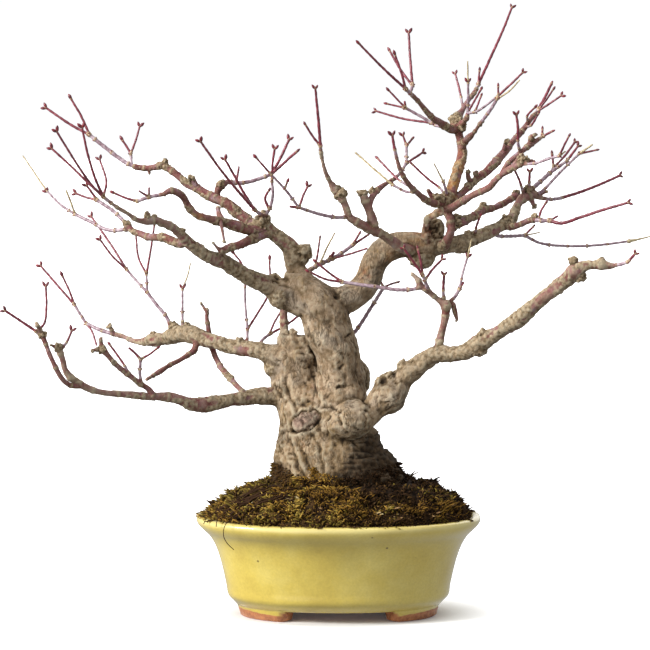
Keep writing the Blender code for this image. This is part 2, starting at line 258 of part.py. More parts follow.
# Sprays of twigs. Each starts with how far its collar reaches along the first route, and each route has its
# diameter at the start and the end, the buds at its end, and its points: across, up and depth.
SPRAYS = {
    "twigs_left_top": (1.6, (
        (2.3, 1.9, 0, ((-100.8, 223.8, 20.5), (-105.7, 226, 22.5), (-115, 232.7, 26), (-124, 239.9, 28.5))),
        (1.5, 1.2, 2, ((-124, 239.9, 28.5), (-133.4, 245, 31), (-140, 249.4, 33), (-146, 253.6, 35))),
        (1.4, 1.1, 1, ((-124, 239.9, 28.5), (-127.7, 248.4, 29), (-133.2, 258, 30))),
        (1.5, 1.1, 1, ((-103, 224.8, 21.5), (-103.6, 230.3, 23.5), (-107.7, 237.4, 25.5))),
        (1.2, 1.0, 2, ((-103.6, 230.3, 23.5), (-100.9, 237.5, 24.5), (-98.9, 244.6, 26))))),
    "twigs_left_inner": (2.0, (
        (2.1, 1.8, 0, ((-87.3, 210.3, -34), (-94.5, 208.9, -34), (-100.6, 206.8, -33))),
        (1.4, 1.1, 1, ((-100.6, 206.8, -33), (-105.8, 208.4, -33), (-112, 211, -32))),
        (1.3, 1.0, 0, ((-94.5, 208.9, -34), (-94.4, 213.6, -35))),
        (1.3, 1.0, 0, ((-94.5, 208.9, -34), (-99.5, 212, -37))))),
    "twigs_left_behind": (2.0, (
        (2.3, 1.9, 0, ((-55, 216.4, 11), (-48.6, 216, 12.5), (-39.6, 218, 14), (-33.8, 220.2, 15))),
        (1.7, 1.3, 2, ((-33.8, 220.2, 15), (-30.2, 226, 16.5), (-24.4, 238, 18.5))),
        (1.7, 1.3, 1, ((-33.8, 220.2, 15), (-27.5, 225.6, 14.5), (-20.8, 231.6, 14.5))),
        (1.4, 1.1, 0, ((-51, 216.2, 12), (-49.6, 224, 13.5))))),
    "twigs_left_fan": (2.0, (
        (1.9, 1.8, 0, ((-113.5, 206, -51), (-117.2, 209, -53))),
        (1.5, 1.1, 2, ((-117.2, 209, -53), (-120.6, 216.5, -56), (-124.9, 230.3, -61), (-127.8, 244, -65))),
        (1.4, 1.1, 2, ((-117.2, 209, -53), (-123.4, 215.4, -59), (-131, 226.4, -67), (-140.6, 242, -76))),
        (1.4, 1.1, 2, ((-117.2, 209, -53), (-123.8, 215, -53), (-133, 224, -53), (-143.2, 233.4, -53))),
        (1.3, 1.0, 2, ((-117.2, 209, -53), (-115.7, 216.5, -49), (-117.6, 223.7, -46),
                       (-119.2, 228, -44))))),
    "twigs_left_middle": (3.0, (
        (2.0, 1.8, 0, ((-105.3, 195, 0), (-111.9, 201.6, 5), (-120.5, 207.5, 10))),
        (1.4, 1.1, 2, ((-120.5, 207.5, 10), (-125.2, 208.6, 13), (-131.4, 210.9, 16))),
        (1.3, 1.1, 2, ((-120.5, 207.5, 10), (-123.4, 211.8, 9), (-125.8, 215, 8))))),
    "twigs_left_lower": (2.6, (
        (2.0, 1.7, 0, ((-104.6, 192.8, -1), (-115.3, 192.6, 6), (-124, 196.8, 12), (-131.5, 200.4, 17))),
        (1.4, 1.2, 2, ((-131.5, 200.4, 17), (-138.6, 205.1, 22), (-145.5, 212, 27))),
        (1.0, 0.7, 0, ((-145.5, 212, 27), (-151.4, 220.8, 31), (-157.2, 229.4, 35))),
        (1.1, 0.9, 0, ((-131.5, 200.4, 17), (-133.9, 207.5, 15), (-135.8, 212.2, 14))))),
    "twigs_left_front": (2.6, (
        (2.1, 1.7, 0, ((-37.6, 199.4, -7), (-41.6, 202.4, -12))),
        (1.7, 1.2, 2, ((-41.6, 202.4, -12), (-49.6, 211.3, -23), (-58.5, 222.2, -36), (-69, 237, -50))),
        (1.6, 1.2, 2, ((-41.6, 202.4, -12), (-47.2, 211, -15), (-52.9, 221.3, -19), (-56.7, 228, -22))))),
    "twigs_left_upright": (2.4, (
        (1.8, 1.5, 0, ((-36.6, 199.4, -8), (-34, 204, -13), (-32.7, 210, -16), (-33.2, 217, -18))),
        (1.4, 1.1, 2, ((-33.2, 217, -18), (-32.8, 226, -20), (-31.7, 233.4, -22))),
        (1.5, 1.2, 1, ((-34.6, 203, -12), (-36.6, 208, -15), (-34.6, 212.4, -20))))),
    "twigs_middle_left_tip": (2.2, (
        (2.1, 1.8, 0, ((-111.6, 140.3, 57), (-119, 142.5, 61), (-126.2, 145.8, 65))),
        (1.5, 1.4, 0, ((-126.2, 145.8, 65), (-131.9, 155, 69))),
        (1.3, 1.1, 2, ((-131.9, 155, 69), (-140.5, 165, 74), (-148.9, 174.8, 79))),
        (1.2, 1.0, 1, ((-131.9, 155, 69), (-134.4, 162, 69), (-138, 169.8, 69))),
        (1.2, 1.0, 0, ((-126.2, 145.8, 65), (-123.6, 142.4, 62), (-121, 134.9, 58))))),
    "twigs_middle_left_long": (5.0, (
        (2.0, 1.7, 0, ((-82.8, 142, 33), (-85.6, 148.5, 34), (-91.3, 155.7, 36), (-95.6, 161.4, 38))),
        (1.5, 1.3, 0, ((-95.6, 161.4, 38), (-101.8, 168.1, 42), (-105.7, 172.7, 44))),
        (1.3, 1.1, 2, ((-105.7, 172.7, 44), (-114, 185.8, 52), (-123.5, 199.5, 60))),
        (1.2, 1.0, 2, ((-105.7, 172.7, 44), (-112.8, 179.4, 43), (-119.2, 188, 42))),
        (1.3, 1.2, 0, ((-95.6, 161.4, 38), (-95.9, 170.5, 39))),
        (1.2, 1.0, 1, ((-95.9, 170.5, 39), (-99.6, 178, 41), (-101.1, 190, 43))),
        (1.2, 1.0, 1, ((-95.9, 170.5, 39), (-93.8, 182, 36), (-91.8, 195.1, 33))))),
    "twigs_middle_left_up": (5.5, (
        (1.5, 1.2, 2, ((-78, 141.5, 29), (-78, 151.3, 30), (-77.9, 164, 31))),
        (0.9, 0.7, 0, ((-77.9, 163, 31), (-75.2, 170.4, 32), (-73.9, 175.8, 33))))),
    "twigs_middle_left_inner": (5.3, (
        (1.6, 1.4, 0, ((-46.2, 133.5, 11), (-45.6, 138.5, 12), (-45.5, 142.9, 12))),
        (1.3, 1.1, 0, ((-45.5, 142.9, 12), (-46.6, 156.1, 13), (-46.7, 172.4, 12))),
        (1.2, 1.0, 1, ((-46.7, 172.4, 12), (-49.2, 177, 12), (-52.4, 181, 12))),
        (1.3, 1.0, 1, ((-45.5, 142.9, 12), (-40.6, 150.6, 16), (-34.8, 161, 20), (-34.4, 177.9, 22))))),
    "twigs_middle_left_cross": (4.4, (
        (1.8, 1.5, 0, ((-40.2, 133.2, 10), (-37.6, 138, 14), (-34.5, 140.3, 17))),
        (1.2, 1.0, 1, ((-34.5, 140.3, 17), (-32.4, 145.6, 19), (-28.7, 152, 20))),
        (1.3, 1.0, 1, ((-34.5, 140.3, 17), (-25, 145.8, 20), (-19.5, 150, 21), (-13, 155, 22))))),
    "twigs_low_left_tip": (2.6, (
        (1.7, 1.3, 2, ((-148, 139.4, -47), (-151.9, 142.3, -47.7), (-157.2, 145.9, -48.4),
                       (-167, 152.4, -49.8))),
        (1.4, 1.1, 2, ((-151.2, 141.8, -47.7), (-147.2, 145.6, -44.2), (-146, 154, -42.8),
                       (-146.2, 165, -41.4))))),
    "twigs_low_left_bud": (3.0, (
        (1.5, 1.2, 2, ((-139.4, 132.6, -41.4), (-136.2, 136, -40), (-133.2, 142.6, -38.6))),)),
    "twigs_low_left_rise": (2.8, (
        (1.8, 1.6, 0, ((-98.6, 115, -26.7), (-99.4, 121, -24.6), (-99, 127.9, -23.2))),
        (1.5, 1.2, 0, ((-99, 127.9, -23.2), (-101.4, 130.5, -23.9), (-104.8, 133.5, -25.3))),
        (1.3, 1.0, 1, ((-99, 127.9, -23.2), (-95.4, 129.8, -21.8), (-90.8, 133.2, -19.7))))),
    "twigs_low_left_dark": (2.6, (
        (1.5, 1.1, 1, ((-104.2, 119.4, -29.5), (-107, 124.6, -27.4), (-114.3, 135, -26))),)),
    "twigs_fork": (3.2, (
        (2.4, 2.0, 0, ((-15.4, 171.8, 15.5), (-11.6, 174.2, 17), (-3, 178.2, 19))),
        (2.0, 1.8, 0, ((-3, 178.2, 19), (2, 181.3, 20), (7.1, 185, 22))),
        (1.4, 1.1, 1, ((7.1, 185, 22), (10.2, 190.4, 24))),
        (1.4, 1.1, 1, ((7.1, 185, 22), (14.3, 189.8, 26))),
        (1.2, 1.0, 0, ((-3, 178.2, 19), (5, 180.3, 17), (14.2, 183.3, 15))),
        (1.3, 1.0, 1, ((-11.6, 174.2, 17), (-10.5, 180, 19), (-9.3, 188.4, 22))),
        (1.1, 0.8, 0, ((-9.4, 175.2, 17.5), (-5.6, 184, 15), (-1.9, 191, 13))),
        (1.9, 1.6, 0, ((-5, 177.2, 18.5), (-2.4, 181.2, 17.5))))),
    "twigs_behind_arm": (5.0, (
        (2.1, 1.8, 0, ((3.5, 136.5, 6), (9, 142.6, 10), (16, 153.4, 12), (22.5, 163.6, 13))),
        (1.2, 1.0, 0, ((22.5, 163.6, 13), (21.2, 167, 14))),
        (1.2, 1.0, 1, ((22.5, 163.6, 13), (25.4, 165.2, 12), (29.4, 166.4, 11))))),
    "twigs_front_top": (1.4, (
        (1.7, 1.2, 2, ((-8.8, 231.6, -34), (-10.1, 248.4, -41), (-11.6, 263.4, -47))),
        (1.3, 1.1, 1, ((-9.1, 234.4, -35), (-12.7, 239, -36), (-16.5, 245, -37))))),
    "twigs_front_left": (3.4, (
        (1.9, 1.6, 0, ((5.5, 199, -22), (-1.6, 198.8, -26), (-10, 200.6, -30), (-19.7, 203.7, -36))),
        (1.5, 1.2, 0, ((-19.7, 203.7, -36), (-26.9, 213, -41), (-33.7, 220.3, -45))),
        (1.2, 1.0, 1, ((-33.7, 220.3, -45), (-41, 228.5, -49))),
        (1.2, 1.0, 1, ((-26.9, 213, -41), (-25.5, 216.4, -41))),
        (1.3, 1.1, 2, ((-19.7, 203.7, -36), (-16.8, 211.5, -34), (-15.2, 214.6, -33))),
        (1.6, 1.2, 0, ((-19.7, 203.7, -36), (-24.2, 204.2, -38))))),
    "twigs_front_right": (2.2, (
        (1.9, 1.6, 0, ((28, 218.1, -1), (31, 221.4, 3), (33.9, 226, 8))),
        (1.4, 1.3, 0, ((33.9, 226, 8), (33.9, 234.6, 12))),
        (1.2, 1.0, 2, ((33.9, 234.6, 12), (31.9, 240, 13))),
        (1.2, 1.0, 1, ((33.9, 234.6, 12), (36.8, 238, 16))),
        (1.4, 1.1, 2, ((33.9, 226, 8), (37.6, 228.2, 12), (42.3, 231.4, 17))))),
    "twigs_crown_left_tip": (2.2, (
        (1.7, 1.3, 2, ((29, 228, -36), (27.8, 233.6, -38), (26.7, 240.2, -41))),)),
    "twigs_crown_left_dead": (3.0, (
        (1.5, 1.3, 0, ((38.6, 211.4, -24), (33.8, 211.6, -21), (27, 215, -19))),
        (1.2, 0.9, 0, ((27, 215, -19), (18, 222.6, -16), (8.5, 231, -12))))),
    "twigs_crown_left_red": (2.8, (
        (1.4, 1.1, 1, ((36.4, 213.6, -27), (31.8, 216.2, -22), (19.5, 228, -12))),)),
    "twigs_crown_red": (4.8, (
        (1.4, 1.1, 1, ((52.6, 207.6, -7), (51.6, 212.2, -1), (44.2, 218.3, 1), (36.6, 225.4, 1))),)),
    "twigs_crown_dead": (4.2, (
        (1.6, 1.4, 0, ((54.4, 208, -5), (53.6, 212, -9), (52.2, 216.6, -13))),
        (1.1, 0.7, 0, ((52.2, 216.6, -13), (47.6, 225.6, -19))))),
    "twigs_apex_left": (1.6, (
        (2.2, 1.9, 0, ((37.3, 259, -20), (33.4, 262.6, -25))),
        (1.5, 1.1, 1, ((33.4, 262.6, -25), (21.8, 273.3, -33), (10, 285.3, -41))),
        (1.3, 1.1, 1, ((33.4, 262.6, -25), (31, 271.5, -27), (28, 279.8, -29))),
        (1.8, 1.5, 0, ((35.6, 260.6, -22.2), (36.8, 264.2, -18))),
        (1.5, 1.2, 2, ((36.8, 264.2, -18), (35.8, 275.6, -13), (34.8, 291, -7))),
        (1.3, 1.1, 1, ((36.8, 264.2, -18), (31, 272, -14), (25.4, 281.5, -10))))),
    "twigs_apex_pale": (3.2, (
        (1.7, 1.4, 0, ((52.4, 243.8, 2), (48.6, 244.6, 7), (41.6, 248.7, 8), (33.3, 253.2, 8))),
        (1.1, 0.9, 1, ((33.3, 253.2, 8), (25, 261.9, 7))),
        (1.1, 0.9, 1, ((33.3, 253.2, 8), (24.2, 255.3, 11))),
        (1.2, 1.0, 0, ((33.3, 253.2, 8), (32.9, 256.4, 7))),
        (1.3, 1.0, 2, ((46.6, 245.8, 7.6), (32.7, 247.8, 13), (18.2, 251.8, 19))))),
    "twigs_apex_right": (2.4, (
        (1.8, 1.6, 0, ((70.3, 245.2, -13), (76.6, 253.8, -20), (79.5, 258.8, -24))),
        (1.2, 1.0, 1, ((79.5, 258.8, -24), (79.4, 264, -24))),
        (1.0, 0.7, 0, ((78.8, 257.6, -23), (85, 261.7, -28), (90, 267, -33))))),
    "twigs_apex_middle": (1.0, (
        (2.1, 1.7, 0, ((63.9, 248.4, -1), (64.2, 250.6, -2))),
        (1.5, 1.2, 2, ((64.2, 250.6, -2), (64.5, 258, -4), (64.4, 266.6, -6))),
        (0.9, 0.7, 0, ((64.4, 266, -6), (64.2, 276.4, -8))),
        (1.2, 1.0, 1, ((64.2, 250.6, -2), (68, 257.4, 3), (70.8, 262.4, 7))),
        (1.4, 1.2, 0, ((64.2, 250.6, -2), (67.9, 251.2, -6), (78.5, 258.4, -12))),
        (1.3, 1.1, 2, ((78.5, 258.4, -12), (85.6, 265, -16), (92, 271.2, -20))),
        (1.1, 0.9, 1, ((67.9, 251.2, -6), (71, 259.3, -4))))),
    "twigs_apex_top": (2.4, (
        (1.9, 1.6, 0, ((67.8, 261, 21), (69.4, 264.6, 23))),
        (1.5, 1.1, 2, ((69.4, 264.6, 23), (76.4, 280, 30), (82.6, 294, 37), (86.2, 303.4, 41))),
        (1.2, 1.0, 1, ((69.4, 264.6, 23), (70.1, 271.8, 23))))),
    "twigs_apex_thin": (2.6, (
        (1.3, 1.0, 2, ((62, 253, 15), (60.2, 262, 20), (57.9, 270.6, 24))),)),
    "twigs_first_tip": (0.6, (
        (1.7, 1.3, 1, ((98, 250.4, 47), (101.6, 256.4, 51), (106, 265.4, 56))),
        (1.2, 1.0, 1, ((99.6, 252.6, 48.6), (103.6, 257.6, 47), (106.8, 262.4, 45))),
        (1.3, 1.0, 2, ((98.8, 251.6, 48), (105, 255.4, 45), (111.2, 259.6, 42))))),
    "twigs_first_side": (3.0, (
        (1.2, 1.0, 1, ((94.4, 246, 44), (93.8, 249, 40), (97.8, 253.6, 36))),)),
    "twigs_first_low": (3.0, (
        (1.3, 1.1, 1, ((92.8, 243.6, 41), (95.6, 244.4, 37), (99.6, 250.6, 34))),)),
    "twigs_second_red": (3.3, (
        (1.6, 1.3, 2, ((90.6, 231, -27.5), (89.6, 234.4, -30), (89.3, 244, -35), (88.5, 250.4, -38))),)),
    "twigs_second_top": (1.2, (
        (1.8, 1.4, 0, ((99.3, 237.4, -25), (101.4, 239, -25))),
        (1.3, 1.1, 1, ((101.4, 239, -25), (101.5, 242.6, -24))),
        (1.4, 1.1, 1, ((101.4, 239, -25), (106.6, 241.7, -29))))),
    "twigs_second_long": (4.8, (
        (1.7, 1.3, 0, ((90.4, 225.2, -37), (97.6, 225.7, -43), (105, 228, -48), (110, 229.4, -51))),
        (1.2, 1.0, 1, ((110, 229.4, -51), (112.4, 234.6, -54), (114.8, 239.3, -57))),
        (1.0, 0.8, 0, ((110, 229.4, -51), (113, 231.6, -52))))),
    "twigs_third_violet": (3.4, (
        (2.4, 2.1, 0, ((94.8, 211.6, 25), (99, 215.2, 29), (105.2, 220.8, 34))),
        (1.6, 1.4, 0, ((105.2, 220.8, 34), (107.2, 223.6, 36))),
        (1.4, 1.2, 1, ((107.2, 223.6, 36), (106.4, 230.4, 38))),
        (1.3, 1.1, 2, ((107.2, 223.6, 36), (112, 228.6, 41), (118, 236.6, 47))),
        (1.9, 1.6, 0, ((105.2, 220.8, 34), (113.8, 227, 33))),
        (1.4, 1.1, 2, ((113.8, 227, 33), (119.6, 234.6, 36))))),
    "twigs_third_dark": (3.2, (
        (1.7, 1.3, 0, ((98.6, 210, 27.5), (101.6, 212, 23), (110, 220.8, 18), (120, 230.6, 12))),
        (1.2, 0.9, 0, ((120, 230.6, 12), (126.4, 235, 9))),
        (1.2, 0.9, 1, ((120, 230.6, 12), (128.4, 232.3, 10))))),
    "twigs_third_long": (2.4, (
        (1.9, 1.4, 2, ((101.2, 208.4, 29), (106, 207.8, 33), (116, 210, 41), (128, 214.3, 50),
                       (140.6, 219.8, 58))),)),
    "twigs_third_up": (3.8, (
        (1.6, 1.3, 2, ((95, 211.6, 24), (95.1, 216.4, 21), (95.3, 222, 19))),)),
    "twigs_third_red": (3.6, (
        (1.5, 1.1, 1, ((92.4, 209.6, 24), (90.2, 217, 19), (87.6, 222.8, 15))),)),
    "twigs_right_upper": (0.6, (
        (2.5, 2.1, 0, ((98.2, 197.6, 2), (101, 197.2, 0), (105.2, 197.2, -2))),
        (2.0, 1.4, 2, ((105.2, 197.2, -2), (110, 195.9, -6), (120, 198.6, -14), (132, 202.6, -22),
                       (145, 206.3, -30))),
        (1.3, 1.1, 0, ((105.2, 197.2, -2), (109.3, 199.4, 1))),
        (1.3, 1.1, 1, ((99.8, 197.4, 1), (101.2, 202.4, 4), (103.3, 205.8, 6))))),
    "twigs_right_lower": (4.4, (
        (2.0, 1.8, 0, ((76, 191.4, 11.5), (79.6, 189.6, 17), (85, 189.4, 23), (92.8, 189.8, 31))),
        (1.6, 1.2, 0, ((92.8, 189.8, 31), (100, 186.2, 38), (114, 184.5, 48), (130, 185, 57),
                       (145, 186.9, 62))),
        (1.8, 0.7, 0, ((144.4, 186.8, 61.8), (148, 187.5, 63), (155.7, 189.4, 66))),
        (1.2, 1.0, 1, ((92.8, 189.8, 31), (97.2, 194.2, 32))),
        (0.9, 0.7, 0, ((92.8, 189.8, 31), (100.3, 191.2, 36))))),
    "twigs_right_small": (4.0, (
        (1.4, 1.1, 1, ((68.2, 189.6, 6), (68.8, 194.4, 0), (70.8, 199.6, -4))),)),
    "twigs_low_right_long": (3.2, (
        (2.0, 1.7, 0, ((41.8, 163.6, -25), (34, 162.6, -25), (18, 164.2, -24), (1.8, 166.6, -22))),
        (1.4, 1.1, 1, ((1.8, 166.6, -22), (-4, 170.6, -23), (-11.3, 176.6, -25))),
        (1.3, 1.1, 1, ((1.8, 166.6, -22), (-6, 167.8, -25), (-14.8, 171.8, -28))))),
    "twigs_low_right_reds": (4.1, (
        (2.0, 1.7, 0, ((45.6, 161.2, -24), (43.6, 166, -29), (42, 170, -31))),
        (1.5, 1.2, 2, ((42, 170, -31), (37.6, 176.4, -34), (32.4, 183.6, -37))),
        (1.3, 1.1, 1, ((42, 170, -31), (41, 177, -31), (39.5, 183.2, -31))),
        (1.4, 1.2, 2, ((43, 167.4, -30), (47.6, 173.6, -28), (52, 178.2, -27))))),
    "twigs_low_right_up": (5.0, (
        (1.7, 1.4, 2, ((53, 155.4, -22.4), (52.4, 161, -24), (52.8, 170.6, -26))),)),
    "twigs_low_right_side": (4.4, (
        (2.0, 1.7, 0, ((54.6, 155.6, -21.8), (58.4, 159.4, -18), (60.4, 163, -17))),
        (1.4, 1.2, 2, ((60.4, 163, -17), (62.2, 171.6, -15), (64.6, 179.6, -13))),
        (0.9, 0.7, 0, ((64.5, 179, -13.2), (66.3, 187.6, -11))),
        (1.4, 1.2, 0, ((60.4, 163, -17), (62.4, 166.2, -16))))),
    "twigs_low_right_tip": (2.2, (
        (2.0, 1.7, 0, ((137.3, 174.8, -66), (140.8, 175.3, -68), (144.6, 176.6, -70))),
        (1.6, 1.4, 2, ((144.6, 176.6, -70), (148.4, 181, -73))))),
}


def clear_scene():
    for obj in list(bpy.data.objects):
        bpy.data.objects.remove(obj, do_unlink=True)


def material(name, colour, roughness):
    """A Principled material of one colour."""
    made = bpy.data.materials.new(name)
    made.use_nodes = True
    shader = made.node_tree.nodes["Principled BSDF"]
    shader.inputs["Base Color"].default_value = (*colour, 1.0)
    shader.inputs["Roughness"].default_value = roughness
    return made


def mesh_object(name, points, faces, finish=None, place=True):
    """An object from points in millimetres and faces, linked to the scene unless place is false."""
    mesh = bpy.data.meshes.new(name)
    mesh.from_pydata([tuple(point) for point in np.asarray(points) * MM], [], faces)
    mesh.validate()
    obj = bpy.data.objects.new(name, mesh)
    if place:
        bpy.context.scene.collection.objects.link(obj)
    if finish:
        mesh.materials.append(finish)
    return obj


def smooth(obj, degrees=50):
    obj.data.shade_smooth()
    obj.data.set_sharp_from_angle(angle=math.radians(degrees))


def from_front_view(across, up, depth):
    """The point at this depth on the line of sight from EYE through (across, up) on the middle plane."""
    drawn = np.array([across, 0.0, up])
    return EYE + (drawn - EYE) * (depth - EYE[1]) / -EYE[1]


def route_points(route):
    """A route's points in space and the diameter at each, which grows or shrinks as the view does."""
    points = np.array([from_front_view(*row[:3]) for row in route])
    scale = (points[:, 1] - EYE[1]) / -EYE[1]
    widths = np.array([row[3] for row in route]) * scale if len(route[0]) > 3 else scale
    return points, widths


def directions(points):
    """The direction of travel at each point: between two stretches it is the mean of theirs."""
    steps = np.diff(points, axis=0)
    steps /= np.linalg.norm(steps, axis=1)[:, None]
    ways = np.vstack([steps[:1], steps[:-1] + steps[1:], steps[-1:]])
    return ways / np.linalg.norm(ways, axis=1)[:, None]


def tube(points, widths, sides):
    """Rings of points across the path, turned as little as the path lets them, with flat ends."""
    ways = directions(points)
    across = np.cross(ways[0], (0.31, -0.9, 0.27))
    across /= np.linalg.norm(across)
    angles = around(sides)
    rings = []
    for point, way, width in zip(points, ways, widths):
        across = across - way * np.dot(across, way)
        across /= np.linalg.norm(across)
        other = np.cross(way, across)
        spokes = np.cos(angles)[:, None] * across + np.sin(angles)[:, None] * other
        rings.append(point + width / 2 * spokes)
    return join_rings(rings)


def join_rings(rings):
    """One closed skin through rings with the same number of points, with a flat face at each end."""
    sides = len(rings[0])
    faces = [tuple(range(sides))[::-1]]
    for ring in range(len(rings) - 1):
        for side in range(sides):
            after = (side + 1) % sides
            low, high = ring * sides, (ring + 1) * sides
            faces.append((low + side, low + after, high + after, high + side))
    faces.append(tuple(range((len(rings) - 1) * sides, len(rings) * sides)))
    return np.vstack(rings), faces


def limb_sides(widths):
    return next(sides for least, sides in LIMB_SIDES if widths.mean() >= least)


def ellipsoid(centre, size, rings=3, sides=6):
    """A ball of few faces, drawn out to size and turned a little so that no two of them line up."""
    turn = 0.7 * centre[0] + 0.3 * centre[2]
    heights = np.linspace(-1, 1, rings + 2)[1:-1] * math.pi / 2 * 0.86
    angles = turn + np.arange(sides) * math.tau / sides
    points = [np.array(centre) - (0, 0, size[2] / 2)]
    for height in heights:
        for angle in angles:
            shape = np.array([math.cos(height) * math.cos(angle), math.cos(height) * math.sin(angle),
                              math.sin(height)])
            points.append(np.array(centre) + shape * size / 2)
    points.append(np.array(centre) + (0, 0, size[2] / 2))
    faces = []
    last = len(points) - 1
    for side in range(sides):
        after = (side + 1) % sides
        faces.append((0, 1 + after, 1 + side))
        faces.append((last, last - sides + side, last - sides + after))
        for ring in range(rings - 1):
            low, high = 1 + ring * sides, 1 + (ring + 1) * sides
            faces.append((low + side, low + after, high + after, high + side))
    return np.array(points), faces


def bud(tip, way, width):
    """A pointed bud of eight faces that starts inside the tip of its twig and points along way."""
    across = np.cross(way, (0.2, 0.9, -0.3))
    across /= np.linalg.norm(across)
    other = np.cross(way, across)
    radius = max(BUD_RADIUS, width * 0.62)
    waist = tip + way * BUD_LENGTH * 0.3
    ring = [waist + radius * (math.cos(angle) * across + math.sin(angle) * other)
            for angle in (0.4 + quarter * math.pi / 2 for quarter in range(4))]
    points = [tip - way * BUD_LENGTH * 0.35, *ring, tip + way * BUD_LENGTH * 0.8]
    faces = [(0, 1 + (side + 1) % 4, 1 + side) for side in range(4)]
    faces += [(5, 1 + side, 1 + (side + 1) % 4) for side in range(4)]
    return np.array(points), faces


def buds(count, points, width):
    """One bud straight on from the tip, or two that spread apart across the line of sight."""
    way = directions(points)[-1]
    if count == 1:
        return [bud(points[-1], way, width)]
    apart = np.cross(way, (0, 1, 0))
    apart /= np.linalg.norm(apart)
    made = []
    for side in (-1, 1):
        lean = way + side * BUD_SPREAD * apart
        made.append(bud(points[-1] + side * apart * width * 0.25, lean / np.linalg.norm(lean), width))
    return made


def cut_start(points, widths, length):
    """The path without its first length, measured along it, and with no point left just behind the cut."""
    steps = np.linalg.norm(np.diff(points, axis=0), axis=1)
    along = np.concatenate([[0], np.cumsum(steps)])
    start = np.array([np.interp(length, along, points[:, axis]) for axis in range(3)])
    width = np.interp(length, along, widths)
    kept = along > length + 1.0
    kept[-1] = True
    return np.vstack([start, points[kept]]), np.append(width, widths[kept])


def twig_path(route):
    start, end, count, drawn = route
    points, scale = route_points(drawn)
    widths = np.linspace(start, end, len(points)) * scale
    return points, widths, count


def apply_modifier(obj, modifier):
    """Replaces the object's mesh by what the modifier makes of it, then removes the modifier."""
    graph = bpy.context.evaluated_depsgraph_get()
    changed = bpy.data.meshes.new_from_object(obj.evaluated_get(graph))
    obj.modifiers.remove(modifier)
    obj.data = changed
    changed.name = obj.name


def is_closed(mesh):
    """Whether every edge joins two faces and every point has one fan of faces round it."""
    shape = bmesh.new()
    shape.from_mesh(mesh)
    closed = all(part.is_manifold for part in (*shape.edges, *shape.verts))
    shape.free()
    return closed


def thin_out(obj, share):
    """Collapses short edges, down to this share of the faces, where the body stays closed."""
    fine = obj.data
    modifier = obj.modifiers.new("thin", "DECIMATE")
    modifier.ratio = share
    apply_modifier(obj, modifier)
    if not is_closed(obj.data):
        obj.data = fine


def union(name, shapes, finish):
    """All shapes joined into one body by one Boolean union on a collection."""
    group = bpy.data.collections.new(name + "_pieces")
    base = mesh_object(name, *shapes[0], finish)
    if len(shapes) == 1:
        return base
    for number, (points, faces) in enumerate(shapes[1:]):
        piece = mesh_object(f"{name}_{number}", points, faces, place=False)
        group.objects.link(piece)
    modifier = base.modifiers.new("join", "BOOLEAN")
    modifier.operation = "UNION"
    modifier.operand_type = "COLLECTION"
    modifier.collection = group
    modifier.solver = "MANIFOLD"
    apply_modifier(base, modifier)
    for piece in list(group.objects):
        bpy.data.objects.remove(piece, do_unlink=True)
    bpy.data.collections.remove(group)
    return base


def subtract(obj, cutters):
    """Cuts each shape in cutters out of the object."""
    for number, (points, faces) in enumerate(cutters):
        cutter = mesh_object(f"{obj.name}_cutter_{number}", points, faces)
        modifier = obj.modifiers.new("cut", "BOOLEAN")
        modifier.operation = "DIFFERENCE"
        modifier.object = cutter
        apply_modifier(obj, modifier)
        bpy.data.objects.remove(cutter, do_unlink=True)


def ellipse(half_width, half_depth, height, angles, exponent=2.0):
    """Points of an ellipse at these angles. A larger exponent fills out its corners."""
    across, deep = np.cos(angles), np.sin(angles)
    reach = (np.abs(across) ** exponent + np.abs(deep) ** exponent) ** (-1 / exponent)
    return np.stack([half_width * reach * across, half_depth * reach * deep, across * 0 + height], axis=1)


def around(count):
    return np.arange(count) * math.tau / count


def pot_ring(half_width, height):
    """A ring of the pot's plan, which is shallower than it is wide by the same amount at every height."""
    return ellipse(half_width, half_width - POT_SHALLOWER, height, around(POT_SIDES), POT_EXPONENT)


def box(low, high):
    points = [(x, y, z) for z in (low[2], high[2]) for y in (low[1], high[1]) for x in (low[0], high[0])]
    faces = [(0, 2, 3, 1), (4, 5, 7, 6), (0, 1, 5, 4), (2, 6, 7, 3), (0, 4, 6, 2), (1, 3, 7, 5)]
    return np.array(points), faces


def foot(first, last):
    """A curved foot under the pot's wall, from one angle round the plan to another."""
    angles = np.radians(np.linspace(first, last, FOOT_STEPS))
    top = FOOT_HEIGHT + 2
    corners = ((FOOT_INNER, 0), (FOOT_OUTER - 1, 0), (FOOT_OUTER + 0.6, top), (FOOT_INNER, top))
    sides = [ellipse(a, a - POT_SHALLOWER, z, angles, POT_EXPONENT) for a, z in corners]
    points, faces = join_rings(list(np.stack(sides, axis=1)))
    return points, [face[::-1] for face in faces]


def pot(finish):
    """The wall is a profile carried round the plan. Feet are joined on, and drain holes are cut through."""
    outline = ((40.0, FOOT_HEIGHT), (49.8, FOOT_HEIGHT), *((a, z) for z, a in POT_OUTSIDE),
               *((a, z) for z, a in POT_INSIDE), (47.0, FLOOR_TOP))
    wall = join_rings([pot_ring(a, z) for a, z in outline])
    made = union("pot", [wall] + [foot(*angles) for angles in FOOT_ANGLES], finish)
    holes = []
    for side in (-1, 1):
        rings = [ellipse(HOLE_RADIUS, HOLE_RADIUS, z, around(HOLE_SIDES)) for z in (0.0, 20.0)]
        points, faces = join_rings(rings)
        holes.append((points + (side * HOLE_X, 0, 0), faces))
    subtract(made, holes)
    return made


